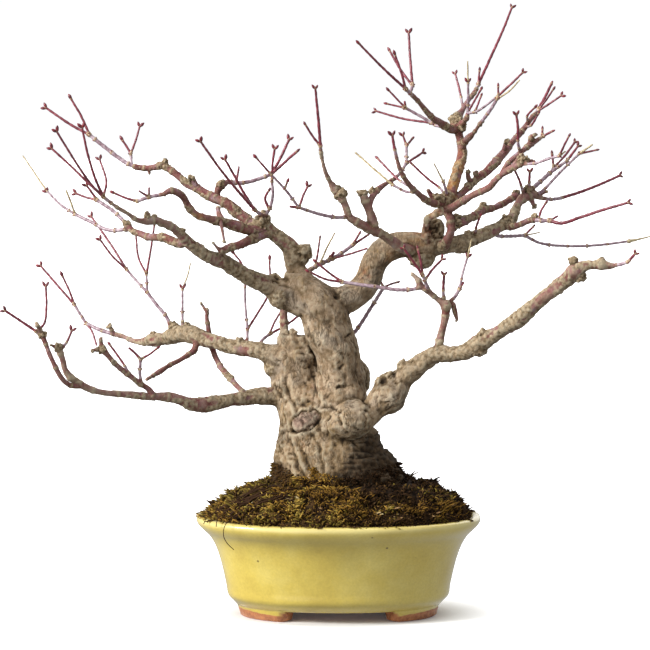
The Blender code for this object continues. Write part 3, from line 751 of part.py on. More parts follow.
def drain_screen(name, side, finish):
    """A square of mesh with open cells that lies on the pot's floor over a drain hole."""
    low = FLOOR_TOP + GAP
    half = SCREEN_SIDE / 2
    centre = side * HOLE_X
    plate = box((centre - half, -half, low), (centre + half, half, low + SCREEN_THICKNESS))
    made = mesh_object(name, *plate, finish)
    cells = []
    hole = SCREEN_CELL * 0.33
    for column in (-1, 0, 1):
        for row in (-1, 0, 1):
            x, y = centre + column * SCREEN_CELL, row * SCREEN_CELL
            cells.append(box((x - hole, y - hole, low - 1), (x + hole, y + hole, low + 3)))
    subtract(made, cells)
    return made


def ground_height(share):
    """The moss's height, from the trunk (share 0) to the pot's rim (share 1)."""
    return MOUND_EDGE + (MOUND_TOP - MOUND_EDGE) * (1 - share ** 1.6) ** 0.75


def trunk_ring(margin, height):
    """An ellipse round the root flare in the ground."""
    across, _, _, width, thickness = COLUMNS["root_flare"][0]
    ring = ellipse(width / 2 + margin, thickness / 2 + margin, height, around(POT_SIDES))
    return ring + (across, 0, 0)


def ground_ring(share, lift, reach=MOSS_REACH):
    """A ring on the mound, part of the way from the trunk to the rim, lifted or sunk."""
    inner, outer = trunk_ring(GAP * 2, 0), pot_ring(reach, 0)
    ring = inner + (outer - inner) * share
    ring[:, 2] = ground_height(share) + lift
    return ring


def soil(finish):
    """Fills the pot, rises in a mound, and has a plain hole for the roots and pockets for the screens."""
    inside = POT_INSIDE[::-1]
    bottom = FLOOR_TOP + GAP
    below = -MOSS_THICKNESS - GAP
    rings = [pot_ring(43.0, bottom), pot_ring(47.0, bottom)]
    rings += [pot_ring(a - GAP * 1.6, z + GAP * 0.5) for z, a in inside if z < MOUND_EDGE + below]
    rings += [ground_ring(share, below, MOSS_REACH - 2.6) for share in (0.97, 0.86, 0.7, 0.45, 0.2)]
    rings += [trunk_ring(GAP * 2, ground_height(0.02) + below), trunk_ring(GAP * 2, TRUNK_FOOT - GAP)]
    made = mesh_object("soil", *join_rings(rings), finish)
    half = SCREEN_SIDE / 2 + GAP
    top = FLOOR_TOP + SCREEN_THICKNESS + 2 * GAP
    subtract(made, [box((x - half, -half, 0), (x + half, half, top)) for x in (-HOLE_X, HOLE_X)])
    return made


def moss(finish):
    """A mat over the mound. Its top is lumpy, by the sum of three waves round and across it."""
    shares = (1.0, 0.93, 0.8, 0.62, 0.42, 0.2, 0.0)
    lower = [ground_ring(share, -MOSS_THICKNESS) for share in (0.2, 0.6, 0.86, 0.97)]
    inner_foot = trunk_ring(GAP * 2, ground_height(0.02) - MOSS_THICKNESS)
    angles = around(POT_SIDES)
    upper = []
    for number, share in enumerate(shares):
        ring = ground_ring(share, 0.0)
        waves = ((5, 1), (9, -2), (2, 3))
        swell = sum(np.sin(crests * angles + turn * number) for crests, turn in waves)
        ring[:, 2] += 0.32 * swell * min(1, 4 * share * (1.02 - share))
        upper.append(ring)
    rings = [inner_foot, *lower, *upper]
    points, faces = join_rings(rings)
    faces = faces[1:-1]
    last = (len(rings) - 1) * POT_SIDES
    for side in range(POT_SIDES):
        after = (side + 1) % POT_SIDES
        faces.append((last + side, last + after, after, side))
    return mesh_object("moss", points, faces, finish)


def trunk(finish):
    """Every column, limb, knob, spur and collar of the wood, joined into one body."""
    shapes = []
    for rows in COLUMNS.values():
        rings = []
        for across, up, depth, width, thickness in rows:
            ring = ellipse(width / 2, thickness / 2, 0, around(TRUNK_SIDES))
            rings.append(ring + from_front_view(across, up, depth))
        shapes.append(join_rings(rings))
    for route in (*LIMBS.values(), *SPURS):
        points, widths = route_points(route)
        shapes.append(tube(points, widths, limb_sides(widths)))
    for across, up, depth, *size in KNOBS:
        shapes.append(ellipsoid(from_front_view(across, up, depth), np.array(size)))
    for reach, routes in SPRAYS.values():
        points, widths, _ = twig_path(routes[0])
        way = directions(points)[0]
        collar = np.array([points[0] - way * 0.4, points[0] + way * reach])
        shapes.append(tube(collar, widths[[0, 0]] * COLLAR_FLARE, TWIG_SIDES))
    made = union("trunk", shapes, finish)
    thin_out(made, TRUNK_SHARE)
    return made


def spray(name, reach, routes, finish):
    """Twigs and buds that leave one collar, joined into one body that starts just clear of the collar."""
    shapes = []
    for number, route in enumerate(routes):
        points, widths, count = twig_path(route)
        if number == 0:
            points, widths = cut_start(points, widths, reach + TWIG_GAP)
        shapes.append(tube(points, widths, TWIG_SIDES))
        if count:
            shapes += buds(count, points, widths[-1])
    made = union(name, shapes, finish)
    if len(shapes) > 2:
        thin_out(made, SPRAY_SHARE)
    return made


def main():
    clear_scene()
    glaze = material("yellow_glaze", (0.72, 0.62, 0.27), 0.25)
    earth = material("soil", (0.07, 0.045, 0.025), 0.95)
    mat = material("moss", (0.10, 0.095, 0.03), 0.95)
    bark = material("bark", (0.46, 0.38, 0.28), 0.85)
    twig_bark = material("twig_bark", (0.30, 0.09, 0.10), 0.55)
    mesh_plastic = material("screen_plastic", (0.02, 0.02, 0.02), 0.5)
    smooth(pot(glaze))
    smooth(soil(earth))
    smooth(moss(mat))
    drain_screen("drain_screen_left", -1, mesh_plastic)
    drain_screen("drain_screen_right", 1, mesh_plastic)
    smooth(trunk(bark))
    for name, (reach, routes) in SPRAYS.items():
        smooth(spray(name, reach, routes, twig_bark))


main()
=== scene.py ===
"""A japanese maple bonsai in winter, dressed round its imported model.

The limbs and twigs follow the same routes as the solids. A route is a row of points drawn as they look from the
front, in millimetres across and up, with a depth behind (+) or in front (-) of the pot's middle.
"""

import math

import bpy
import numpy as np
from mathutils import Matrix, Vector


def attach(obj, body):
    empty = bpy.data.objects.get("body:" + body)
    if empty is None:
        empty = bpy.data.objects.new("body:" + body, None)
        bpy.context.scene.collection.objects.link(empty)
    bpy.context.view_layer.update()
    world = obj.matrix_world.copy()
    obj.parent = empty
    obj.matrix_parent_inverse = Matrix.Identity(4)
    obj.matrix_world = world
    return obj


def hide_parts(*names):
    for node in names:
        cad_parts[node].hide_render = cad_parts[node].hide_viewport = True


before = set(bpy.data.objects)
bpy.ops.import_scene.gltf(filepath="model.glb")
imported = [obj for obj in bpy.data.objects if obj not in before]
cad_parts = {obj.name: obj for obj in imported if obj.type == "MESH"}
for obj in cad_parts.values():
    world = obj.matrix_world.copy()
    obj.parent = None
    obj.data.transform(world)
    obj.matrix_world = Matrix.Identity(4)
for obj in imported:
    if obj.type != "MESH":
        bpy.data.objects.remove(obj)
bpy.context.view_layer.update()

MM = 0.001
EYE = np.array([-6.75, -1500.0, 240.0])

# Trunk columns: across, up, depth, width, thickness front to back.
COLUMNS = {
    "root_flare": (
        (0.3, 60, 0, 68.5, 51), (0.2, 68, 0, 67.5, 50), (-1.2, 74, 0, 62, 45),
        (-2.2, 79, 0, 60, 42), (-4.5, 84, -1, 53, 38), (-5.3, 90, -1, 49.5, 35), (-6.8, 97, -1, 44.5, 32),
        (-8.5, 104, 0, 44, 30), (-9.5, 110, 1.5, 42, 25), (-10.5, 115, 3, 35, 19),
        (-11, 119, 4, 25, 13)),
    "rear_column": (
        (-16, 98, 3, 26, 26), (-19, 108, 5, 26, 26), (-20.5, 116, 7, 26.5, 25), (-21.5, 124, 8, 25, 23),
        (-20.3, 132, 8, 20.5, 20), (-20.6, 137, 8, 19.6, 17), (-21.2, 139.8, 8, 17.6, 14)),
    "front_column": (
        (-3, 98, -4, 30, 30), (-1, 106, -4, 31, 29), (1, 114, -3, 25, 27), (0.5, 120, -3, 22, 26),
        (0.2, 126, -3, 21.5, 25), (-1.3, 132, -3, 23.5, 25), (-3.6, 138, -3, 26, 25),
        (-5.4, 144, -3, 25, 24), (-7.2, 150, -3, 24.5, 23), (-9, 156, -3, 26, 22),
        (-12.5, 161.5, -2, 25, 20), (-17, 166.5, -2, 19, 16), (-20.6, 171, -1, 13, 12)),
}

# Limbs of the trunk's own wood: across, up, depth and diameter at each point.
LIMBS = {
    "fork_neck": (
        (-19, 168, -1, 13), (-21.5, 174, 0, 9.4), (-22.4, 179, 0, 9.8), (-24.2, 184, -1, 8),
        (-28.5, 187.6, -2, 7.2), (-33.3, 191.3, -3, 6.8), (-37, 195, -4, 7), (-37.4, 199, -6, 5.6)),
    "left_high": (
        (-34.8, 192.8, -2.6, 5.4), (-40.5, 194.8, 0, 5.7), (-43.6, 196, 1.5, 5.5), (-46.7, 198.4, 2.5, 5.5),
        (-51.5, 202.2, 4, 5.4), (-55.3, 205.4, 5, 5.3), (-58.9, 207, 6, 5.1), (-63, 208.9, 7, 4.8),
        (-66.8, 210.8, 8.5, 4.5), (-70.6, 213.3, 10, 4.2), (-74.4, 214.8, 11.5, 3.9), (-78.2, 218, 13, 3.9),
        (-81.5, 220.8, 14, 3.6), (-84.9, 223.1, 15.5, 3.6), (-88, 224.8, 16.5, 3.9), (-91.5, 223.8, 17.5, 3.2),
        (-96, 223.3, 19, 3.0), (-100.8, 223.8, 20.5, 2.8)),
    "left_inner": (
        (-36, 192.5, -4, 6), (-40.5, 191.9, -7, 5.4), (-44.3, 192.2, -10, 5.2), (-51.5, 194.4, -15, 5.1),
        (-56.3, 196, -18, 4.5), (-61, 197.2, -21, 4), (-65.8, 198.4, -24, 3.7), (-70.6, 199.9, -26, 3.6),
        (-73, 201.8, -27, 3.6), (-75.4, 205.1, -28, 3.4), (-77.3, 208.6, -29, 3.6), (-79.8, 210.9, -31, 4),
        (-84, 212, -33, 3.2), (-87.3, 210.3, -34, 2.5)),
    "left_short": (
        (-35.5, 191.5, -5, 5.2), (-40.5, 189, -9, 4.7), (-45, 186.9, -13, 4.4), (-50, 184.9, -17, 4),
        (-54.5, 183.5, -20, 3.8), (-58.3, 182.2, -23, 3.4), (-60.6, 183.8, -24.5, 1.6), (-62.6, 186.2, -25.5, 1.2)),
    "left_behind": (
        (-57.5, 206, 5.5, 3.2), (-60.2, 208.6, 8.8, 3), (-60.3, 212, 10, 3.2), (-58.5, 215, 10.5, 4.2),
        (-55, 216.4, 11, 2.6)),
    "left_behind_stub": ((-57, 196.3, -18, 3), (-59.5, 200, -14, 2.8), (-60.2, 203.6, -10, 2.2)),
    "low_fork": (
        (-16, 158, -2, 20), (-24, 160, -2, 16), (-31.5, 163.2, -3, 11.8), (-38.5, 166.3, -6, 8.6),
        (-44.3, 168.8, -9, 7.4), (-51.5, 173, -13, 7), (-56.5, 176, -16, 7), (-62, 178.2, -19, 7),
        (-66.8, 179.8, -22, 6.4), (-70.6, 183, -24, 6), (-75, 186.3, -27, 5.6), (-78.3, 189.6, -29, 5),
        (-83, 193.8, -33, 4.2), (-87.8, 196, -36, 3.9), (-91.1, 197.4, -38, 3.8), (-95.4, 196.8, -41, 4.1),
        (-100.2, 197.4, -44, 2.8), (-105.3, 200.8, -47, 2.3), (-109.5, 203.2, -49, 2.1),
        (-113.5, 206, -51, 2)),
    "low_fork_side": (
        (-75, 186.3, -27, 4.6), (-79.5, 185.8, -25, 4.5), (-83.5, 187.4, -22, 4.3), (-86.8, 188.9, -19, 4.2),
        (-90.6, 188.9, -15, 3.9), (-94.5, 189, -11, 3.6), (-99.2, 190.8, -6, 3.4), (-103, 192, -2, 3.1),
        (-105.3, 194.3, 0, 3.6)),
    "middle_left": (
        (-24, 127, 6, 17), (-31, 129.3, 6, 11.5), (-35.5, 130.7, 7, 9.2), (-39.8, 132.2, 8, 8.6),
        (-44.5, 132.9, 10, 7.8), (-50.3, 133.7, 13, 7.2), (-56.5, 134.8, 16, 6.9), (-61.2, 136.3, 18, 7),
        (-66, 137.4, 21, 7.4), (-70.8, 139.4, 24, 8.6), (-74.6, 140.6, 27, 9.2), (-78.9, 140.6, 30, 8.4),
        (-83, 139.6, 34, 8), (-87.5, 138, 38, 6), (-92.3, 137.7, 42, 6.6), (-97, 136.8, 46, 4),
        (-102.3, 136.9, 50, 2.8), (-107.1, 139, 54, 2.5), (-111.6, 140.3, 57, 2.4)),
    "middle_left_rise": (
        (-46.5, 108.5, -4, 3.6), (-48.3, 111.6, -3, 3), (-51.7, 115.4, 3, 2.9), (-55, 119.2, 9, 2.9),
        (-58.4, 123.1, 15, 2.9), (-60.6, 127, 20, 2.8), (-62.4, 131.2, 24.5, 2.8), (-63.8, 136, 26.5, 2.7),
        (-64.7, 140.5, 27, 2.6), (-65.3, 145, 27, 2.3), (-65.8, 149, 27, 2), (-65.5, 152.8, 27, 1.8)),
    "middle_left_hang": (
        (-71, 137.5, 22, 3.6), (-72, 132.8, 17, 3), (-75.6, 129.8, 13, 2.6), (-80.3, 126.9, 9, 2.4),
        (-83.7, 125.3, 6, 2.4), (-86.5, 123.6, 3, 2.2), (-89.4, 121.6, 0, 2.8), (-92.7, 119.7, -4, 2.1),
        (-96.1, 117.6, -8, 1.7)),
    "low_left": (
        (-22, 108, 2.7, 14), (-29, 108.8, 2, 10.5), (-35, 109.3, 1.3, 8.8), (-41.7, 109.3, -0.8, 8),
        (-50.9, 107.6, -4.3, 6.5), (-58.3, 106.7, -7.8, 6.6), (-67.6, 104.9, -12, 7.2), (-72.2, 105, -14.8, 6.6),
        (-78.7, 107.4, -18.3, 5.4), (-86, 109, -21.1, 4.6), (-95.3, 109.1, -24.6, 4), (-104.5, 110, -28.8, 3.6),
        (-113.8, 110.6, -32.3, 3.2), (-123, 112.4, -35.8, 3.4), (-130, 115.7, -37.9, 4), (-134.3, 119.1, -39.3, 3.5),
        (-136.9, 123, -40, 3.2), (-138, 127.5, -40.7, 3.1), (-139.6, 132, -41.4, 3.4)),
    "low_left_second": (
        (-128, 114.4, -37.2, 2.8), (-133.8, 114.6, -40.7, 2.6), (-138, 117.7, -43.5, 2.6),
        (-140.6, 121.7, -44.9, 2.6), (-142.6, 126, -45.6, 2.6), (-144.5, 130.3, -46.3, 2.5),
        (-146.3, 135.2, -46.6, 2.4), (-148, 139.4, -47, 3.2)),
    "low_left_rise": (
        (-92.5, 108.5, -23.9, 3.8), (-95.2, 112.9, -25.3, 3), (-99.5, 115.7, -27.4, 2.8), (-103.8, 119.1, -29.5, 2.8),
        (-107.6, 122, -30.9, 2.7), (-111.9, 125.8, -33, 2.6), (-115.7, 130.1, -34.4, 2.6), (-118.2, 133, -35.1, 3.8)),
    "rear_shoot": (
        (-27, 135, 10, 4), (-27.3, 146, 11.5, 3.8), (-27, 154, 13, 3.6), (-24.5, 161, 14.5, 3.3),
        (-20, 167.5, 15.5, 3.1), (-15.4, 171.8, 15.5, 3.3)),
    "right_arm": (
        (-6, 155, -2, 20), (2, 157.3, -1, 14.6), (8.5, 160.5, 0, 13.7), (13.2, 165, 1, 13.4),
        (15.8, 170.3, 2, 13), (17.8, 176, 2, 13.3), (21.8, 181.3, 2, 13.6), (28.5, 184.8, 2, 13.2),
        (36, 185.2, 1, 12.6), (43.5, 184.4, 1, 12.2), (50, 184.9, 1, 9.6), (56, 185.2, 2, 8.2),
        (61, 186, 4, 8), (66, 188, 6, 7.2), (70.9, 189.8, 8, 6.6), (75.5, 191.6, 11, 6), (80, 193.8, 14, 5.6),
        (83.5, 195.8, 16, 6.2), (86.6, 198.3, 18, 5.4), (88, 202, 20, 4.4), (89.6, 205.6, 22, 4.2),
        (92.5, 208.6, 24, 5), (96, 210.2, 26, 4.8), (99, 209.6, 28, 3.8), (101.2, 208.4, 29, 2.7)),
    "right_arm_side": (
        (83, 194.8, 16, 4.4), (86.8, 194.1, 12, 3.6), (91, 195.4, 8, 3.1), (95.8, 197.4, 4, 3.1),
        (98.2, 197.6, 2, 2.7)),
    "callus": (
        (44, 188, -3, 5.6), (43.5, 193.5, -5.5, 3.8), (45.5, 198.6, -7, 3.4), (49.4, 200.9, -7.5, 3.6),
        (52.4, 202.8, -7, 4)),
    "twisted_stem": (
        (52, 184, -2, 6), (54, 187.3, -7, 4.6), (56, 192, -9, 4.3), (55.8, 197, -9, 4.1),
        (54.3, 201.5, -8, 4.3), (53.4, 206, -6, 5.4), (55.5, 210.2, -4, 5.8), (57.4, 215, -2, 5.6),
        (58.9, 220.5, 1, 5.3), (60.5, 226, 4, 5.2), (61.6, 230.8, 6, 5.2), (61, 236, 7, 4.1),
        (59.8, 240.5, 8, 4.1), (58.6, 246.2, 9, 5.8), (61.6, 252.2, 14, 2.7), (64.6, 257, 18, 2.4),
        (67.8, 261, 21, 2.8)),
    "apex_left": (
        (59.5, 242.4, 8, 4), (55.8, 242.6, 5, 3.9), (53.3, 244, 2, 3.8), (50, 246.2, -2, 3.4),
        (46, 249, -8, 3), (42, 253.7, -14, 2.5), (39.5, 256.8, -17, 2.3), (37.3, 259, -20, 2.5)),
    "apex_right": (
        (61.4, 233, 6, 3.6), (63.4, 237, 1, 3.2), (65.6, 239.2, -4, 3.2), (67.4, 241, -8, 2.2),
        (70.3, 245.2, -13, 1.9)),
    "apex_middle": ((59, 244, 9, 3.4), (62, 246, 4, 2.8), (63.9, 248.4, -1, 2.5)),
    "crown_left": (
        (53, 206, -6, 4.6), (48.5, 205.7, -11, 3.7), (44, 207.4, -17, 3.3), (40.2, 210.2, -22, 3),
        (36.4, 213.8, -27, 2.8), (33.2, 217.9, -31, 2.6), (30.7, 222.4, -34, 2.3), (29, 228, -36, 1.9)),
    "crown_first": (
        (54.5, 207, -5, 4.6), (58.5, 208.9, -2, 4), (62, 211.5, 2, 3.7), (66, 215.4, 7, 3.6),
        (70, 218.8, 12, 3.6), (74, 221.9, 17, 4.2), (77.8, 225.6, 21, 4.6), (80.6, 229, 25, 3.9),
        (83.5, 232.3, 29, 3.6), (86.5, 236.2, 33, 3.2), (89.8, 240, 37, 3), (92.8, 243.6, 41, 2.8),
        (95.6, 247.6, 45, 2.5), (98, 250.4, 47, 2.2)),
    "crown_second": (
        (54.5, 202.5, -8, 4.6), (58, 204.4, -12, 3.7), (63, 207.5, -17, 3.5), (68, 210.4, -22, 3.4),
        (71.5, 211.9, -25, 3.3), (75, 213.6, -28, 3.3), (78, 217, -30, 3.2), (82, 220.6, -32, 3.2),
        (86, 223, -34, 3.8), (90.4, 225.2, -37, 3)),
    "crown_second_upper": (
        (81.5, 220.4, -32, 3), (84.5, 225.6, -29, 2.9), (88.3, 229, -28, 2.8), (92, 232.3, -27, 2.6),
        (95.3, 235, -26, 3.3), (99.3, 237.4, -25, 2.3)),
    "crown_third": (
        (56, 195, -8, 5), (60.3, 195.7, -5, 4.5), (64.3, 197.7, 0, 4.3), (68.2, 199.6, 6, 3.9),
        (72.3, 202.4, 13, 4.2), (76, 203.2, 20, 3.4), (80.9, 205, 27, 3.3), (85.5, 207.6, 33, 3.3),
        (88.5, 209.6, 37, 4.2)),
    "front_limb": (
        (37, 182.6, -2, 7), (31.8, 183.6, -8, 5.2), (26.8, 187, -12, 5), (20.5, 191, -16, 5),
        (14, 194, -19, 4.9), (9.5, 196.4, -21, 4.4), (5.5, 199, -22, 4), (4, 203, -23, 3.6),
        (2.6, 206.5, -24, 3.8), (0.5, 209.7, -25, 4.6), (-2.5, 213.6, -26, 3.6), (-5, 218, -28, 2.6),
        (-6.7, 222, -30, 2.4), (-8, 227, -32, 1.9), (-8.8, 231.6, -34, 1.9)),
    "front_limb_rise": (
        (18.6, 190.4, -16.4, 3.9), (17.3, 196, -18.5, 4.5), (15.9, 200.5, -19.5, 4.3), (14.1, 205, -20, 4.3),
        (12.4, 209.8, -20.5, 4.2)),
    "front_limb_right": (
        (15, 204, -19.5, 3.8), (16.4, 208.2, -17, 3.2), (18.5, 211.4, -14, 3.2), (21.2, 213.9, -10, 2.7),
        (25, 216.4, -5, 2.3), (28, 218.1, -1, 2.5)),
    "low_right": (
        (-6, 94.6, -10, 16), (-0.5, 96, -14.5, 17.4), (6.5, 97.6, -17, 20), (11.5, 98.6, -17.4, 18),
        (15.5, 100, -16.4, 13), (18.2, 102.6, -15, 12.2), (21, 105.6, -14, 16), (24.6, 109, -13, 18.6),
        (28.6, 113.4, -12.5, 15.4), (32.2, 118.2, -12.5, 11), (37, 122.3, -14, 10.6), (43.5, 127.4, -17, 9.2),
        (50, 130.4, -20, 8.4), (57, 130.3, -23, 7.6), (63, 131.5, -26, 7.6), (68, 134.4, -29, 8.6),
        (72.5, 137, -31, 8.6), (78.5, 140.3, -34, 7), (85, 144.4, -38, 7.4), (90.5, 148.4, -41, 7.8),
        (95.3, 152.3, -44, 7.2), (100.5, 157.3, -47, 6.4), (105.3, 161, -50, 6.4), (110.5, 165, -53, 6.8),
        (115, 168.8, -56, 7.6), (118.8, 172.3, -58, 8.4), (123, 174.6, -60, 5.2), (127.5, 175, -62, 4.4),
        (131.5, 175.2, -64, 5.4), (134.5, 174.6, -65, 3.8), (137.3, 174.8, -66, 2.3)),
    "low_right_rise": (
        (49, 128.5, -19.5, 5.6), (50, 134, -20, 4.2), (51.3, 140, -20.5, 3.9), (52.8, 146, -21, 3.9),
        (53.6, 151, -21.5, 4.2), (53.6, 155, -22, 6), (50, 157.6, -23, 3.1), (46, 160.8, -24, 2.9),
        (42.5, 163.6, -25, 3.3)),
}

# Burls, calluses and old pruning knobs: across, up, depth, then width, thickness and height.
KNOBS = (
    (-28.4, 159.8, -4, 14, 12, 14), (8.5, 118, 6, 15, 18, 21), (-17.2, 182, -1, 8, 8, 7.4),
    (-18.3, 178.3, -1, 6.6, 7, 7.2), (-31.4, 124.6, 8, 12.4, 14, 13), (-37.4, 196.9, -5, 7.2, 7.6, 8.8),
    (-32.5, 167.5, 0, 7, 7, 7), (41.5, 179.6, 1, 14.5, 12, 13.5), (48, 193.4, -1, 10.5, 7, 11),
    (61, 183.9, 4, 9, 8, 6.5), (65.2, 190.6, 5, 4.6, 4.6, 4), (20.6, 116.4, -13, 5.4, 11, 5.4),
    (26, 117.5, -12, 9, 9, 8.5), (31.6, 124, -13, 5.4, 6, 6.6), (70.5, 131.8, -29.5, 8, 7, 5),
    (72, 140.8, -31, 5, 5, 4), (117.3, 177, -58, 4.6, 5, 5), (121.3, 169.4, -58, 5, 5, 5.4),
    (131.2, 177.2, -64, 4.4, 4, 3), (-82.2, 144.6, 33, 4.6, 5, 5), (-75.6, 144.6, 27, 4.2, 5, 3.6),
    (-49.3, 136.9, 12, 4.4, 4, 4), (-92.3, 139.8, 42, 5, 4.6, 3.4), (-95.4, 199, -41, 3, 3, 4),
    (-92.1, 198.9, -38.5, 3.2, 3.2, 3), (-78.6, 191.6, -29.5, 4.2, 4.2, 4), (-105.5, 195.4, 0.5, 4.4, 4.4, 4.4),
    (-86, 226.8, 16, 3, 3, 3), (-140.4, 133.8, -41.6, 4.4, 4.4, 3.6), (-148.2, 140.2, -47, 4, 4, 3.6),
    (-118.2, 133.2, -35.1, 4.6, 4.4, 4.2), (-58.4, 215.4, 10.5, 5, 5, 4.4), (12.2, 211, -20.7, 5, 4.8, 3.6),
    (17, 211.8, -14.5, 3.8, 3.6, 3.8), (0.8, 210.5, -25, 6, 5.6, 6), (-0.2, 213, -24.5, 3, 3, 4),
    (58.5, 247, 9, 6.6, 6.4, 6.4), (61.6, 244, 6, 4, 4.4, 5), (58.8, 197, -7, 4.6, 5, 8),
    (49.5, 208.6, -9, 5.4, 5, 4.4), (72, 205.2, 14, 3.6, 3.8, 3.6), (88.6, 211, 37.5, 4, 4, 3.4),
    (94.6, 212.6, 24, 4.8, 4.6, 4), (84, 197.5, 16, 6.4, 6.2, 5), (98, 199.4, 2.5, 3, 3, 3.6),
    (92.2, 227, -37, 4.6, 5, 5), (95.8, 237.6, -26, 3, 3, 4), (-27.4, 140.6, 10, 5, 5, 4),
)

# Short dead stubs and single twiglets that are part of the wood: across, up, depth and diameter.
SPURS = (
    ((-70, 212.5, 9.5, 3.2), (-72.9, 218.4, 9, 2.8)),
    ((-94.6, 223.6, 18.5, 2), (-94.2, 220.4, 18.8, 1.4)),
    ((-59.3, 198.5, -20, 2), (-58.4, 194.4, -24, 1.8), (-57, 186.6, -27, 1.4)),
    ((-95.4, 197.5, -41, 2.4), (-95.4, 201.2, -41, 1.6)),
    ((-112, 140.3, 57, 2.2), (-114.6, 144.4, 56, 1.8)),
    ((-65.5, 151, 27, 1.8), (-68.6, 155.8, 27, 1.3)),
    ((-118.3, 133, -35.1, 2.4), (-119, 137.9, -35.8, 1.8)),
    ((-118.3, 133, -35.1, 2.4), (-123.3, 132.3, -36.5, 1.5)),
    ((-140.5, 133.5, -41.4, 2.2), (-143.6, 135, -42.8, 1.4)),
    ((-148.2, 140, -47, 2.4), (-150.6, 145.2, -51.2, 1.8)),
    ((44.6, 212.4, -10, 2.2), (47, 209, -9.5, 2.8), (50, 208, -9, 3)),
    ((95.8, 208.5, 26, 3), (97.4, 204.4, 25, 1.9)),
    ((99, 210, 28, 2.6), (103.8, 211.7, 29, 1.5)),
    ((95.4, 235.4, -26, 2.8), (96, 238.6, -27, 2.4), (98, 240.2, -28, 1.8)),
    ((82, 230.8, 27, 2.4), (83.4, 236.6, 26, 2)),
    ((66, 215.8, 7, 2.8), (64.6, 219, 5, 2.4), (64.4, 221.6, 4, 2)),
    ((68.4, 218, 10, 2.4), (68.2, 221.2, 9, 1.8)),
    ((40.8, 164.5, -25, 4.2), (40, 167.2, -25.5, 3.2), (36.8, 170.6, -26, 1.8)),
    ((57.2, 155.4, -21, 3), (58.2, 151.4, -20, 2.8), (59.3, 147.6, -19.5, 1.6)),
    ((86, 223, -34, 2.6), (91.3, 230, -37, 1.8)),
    ((-22.5, 138, 4, 3.4), (-22.7, 140.9, 3.5, 2.8)),
    ((92.5, 227, -37, 2.8), (97, 226.8, -34, 1.6)),
)

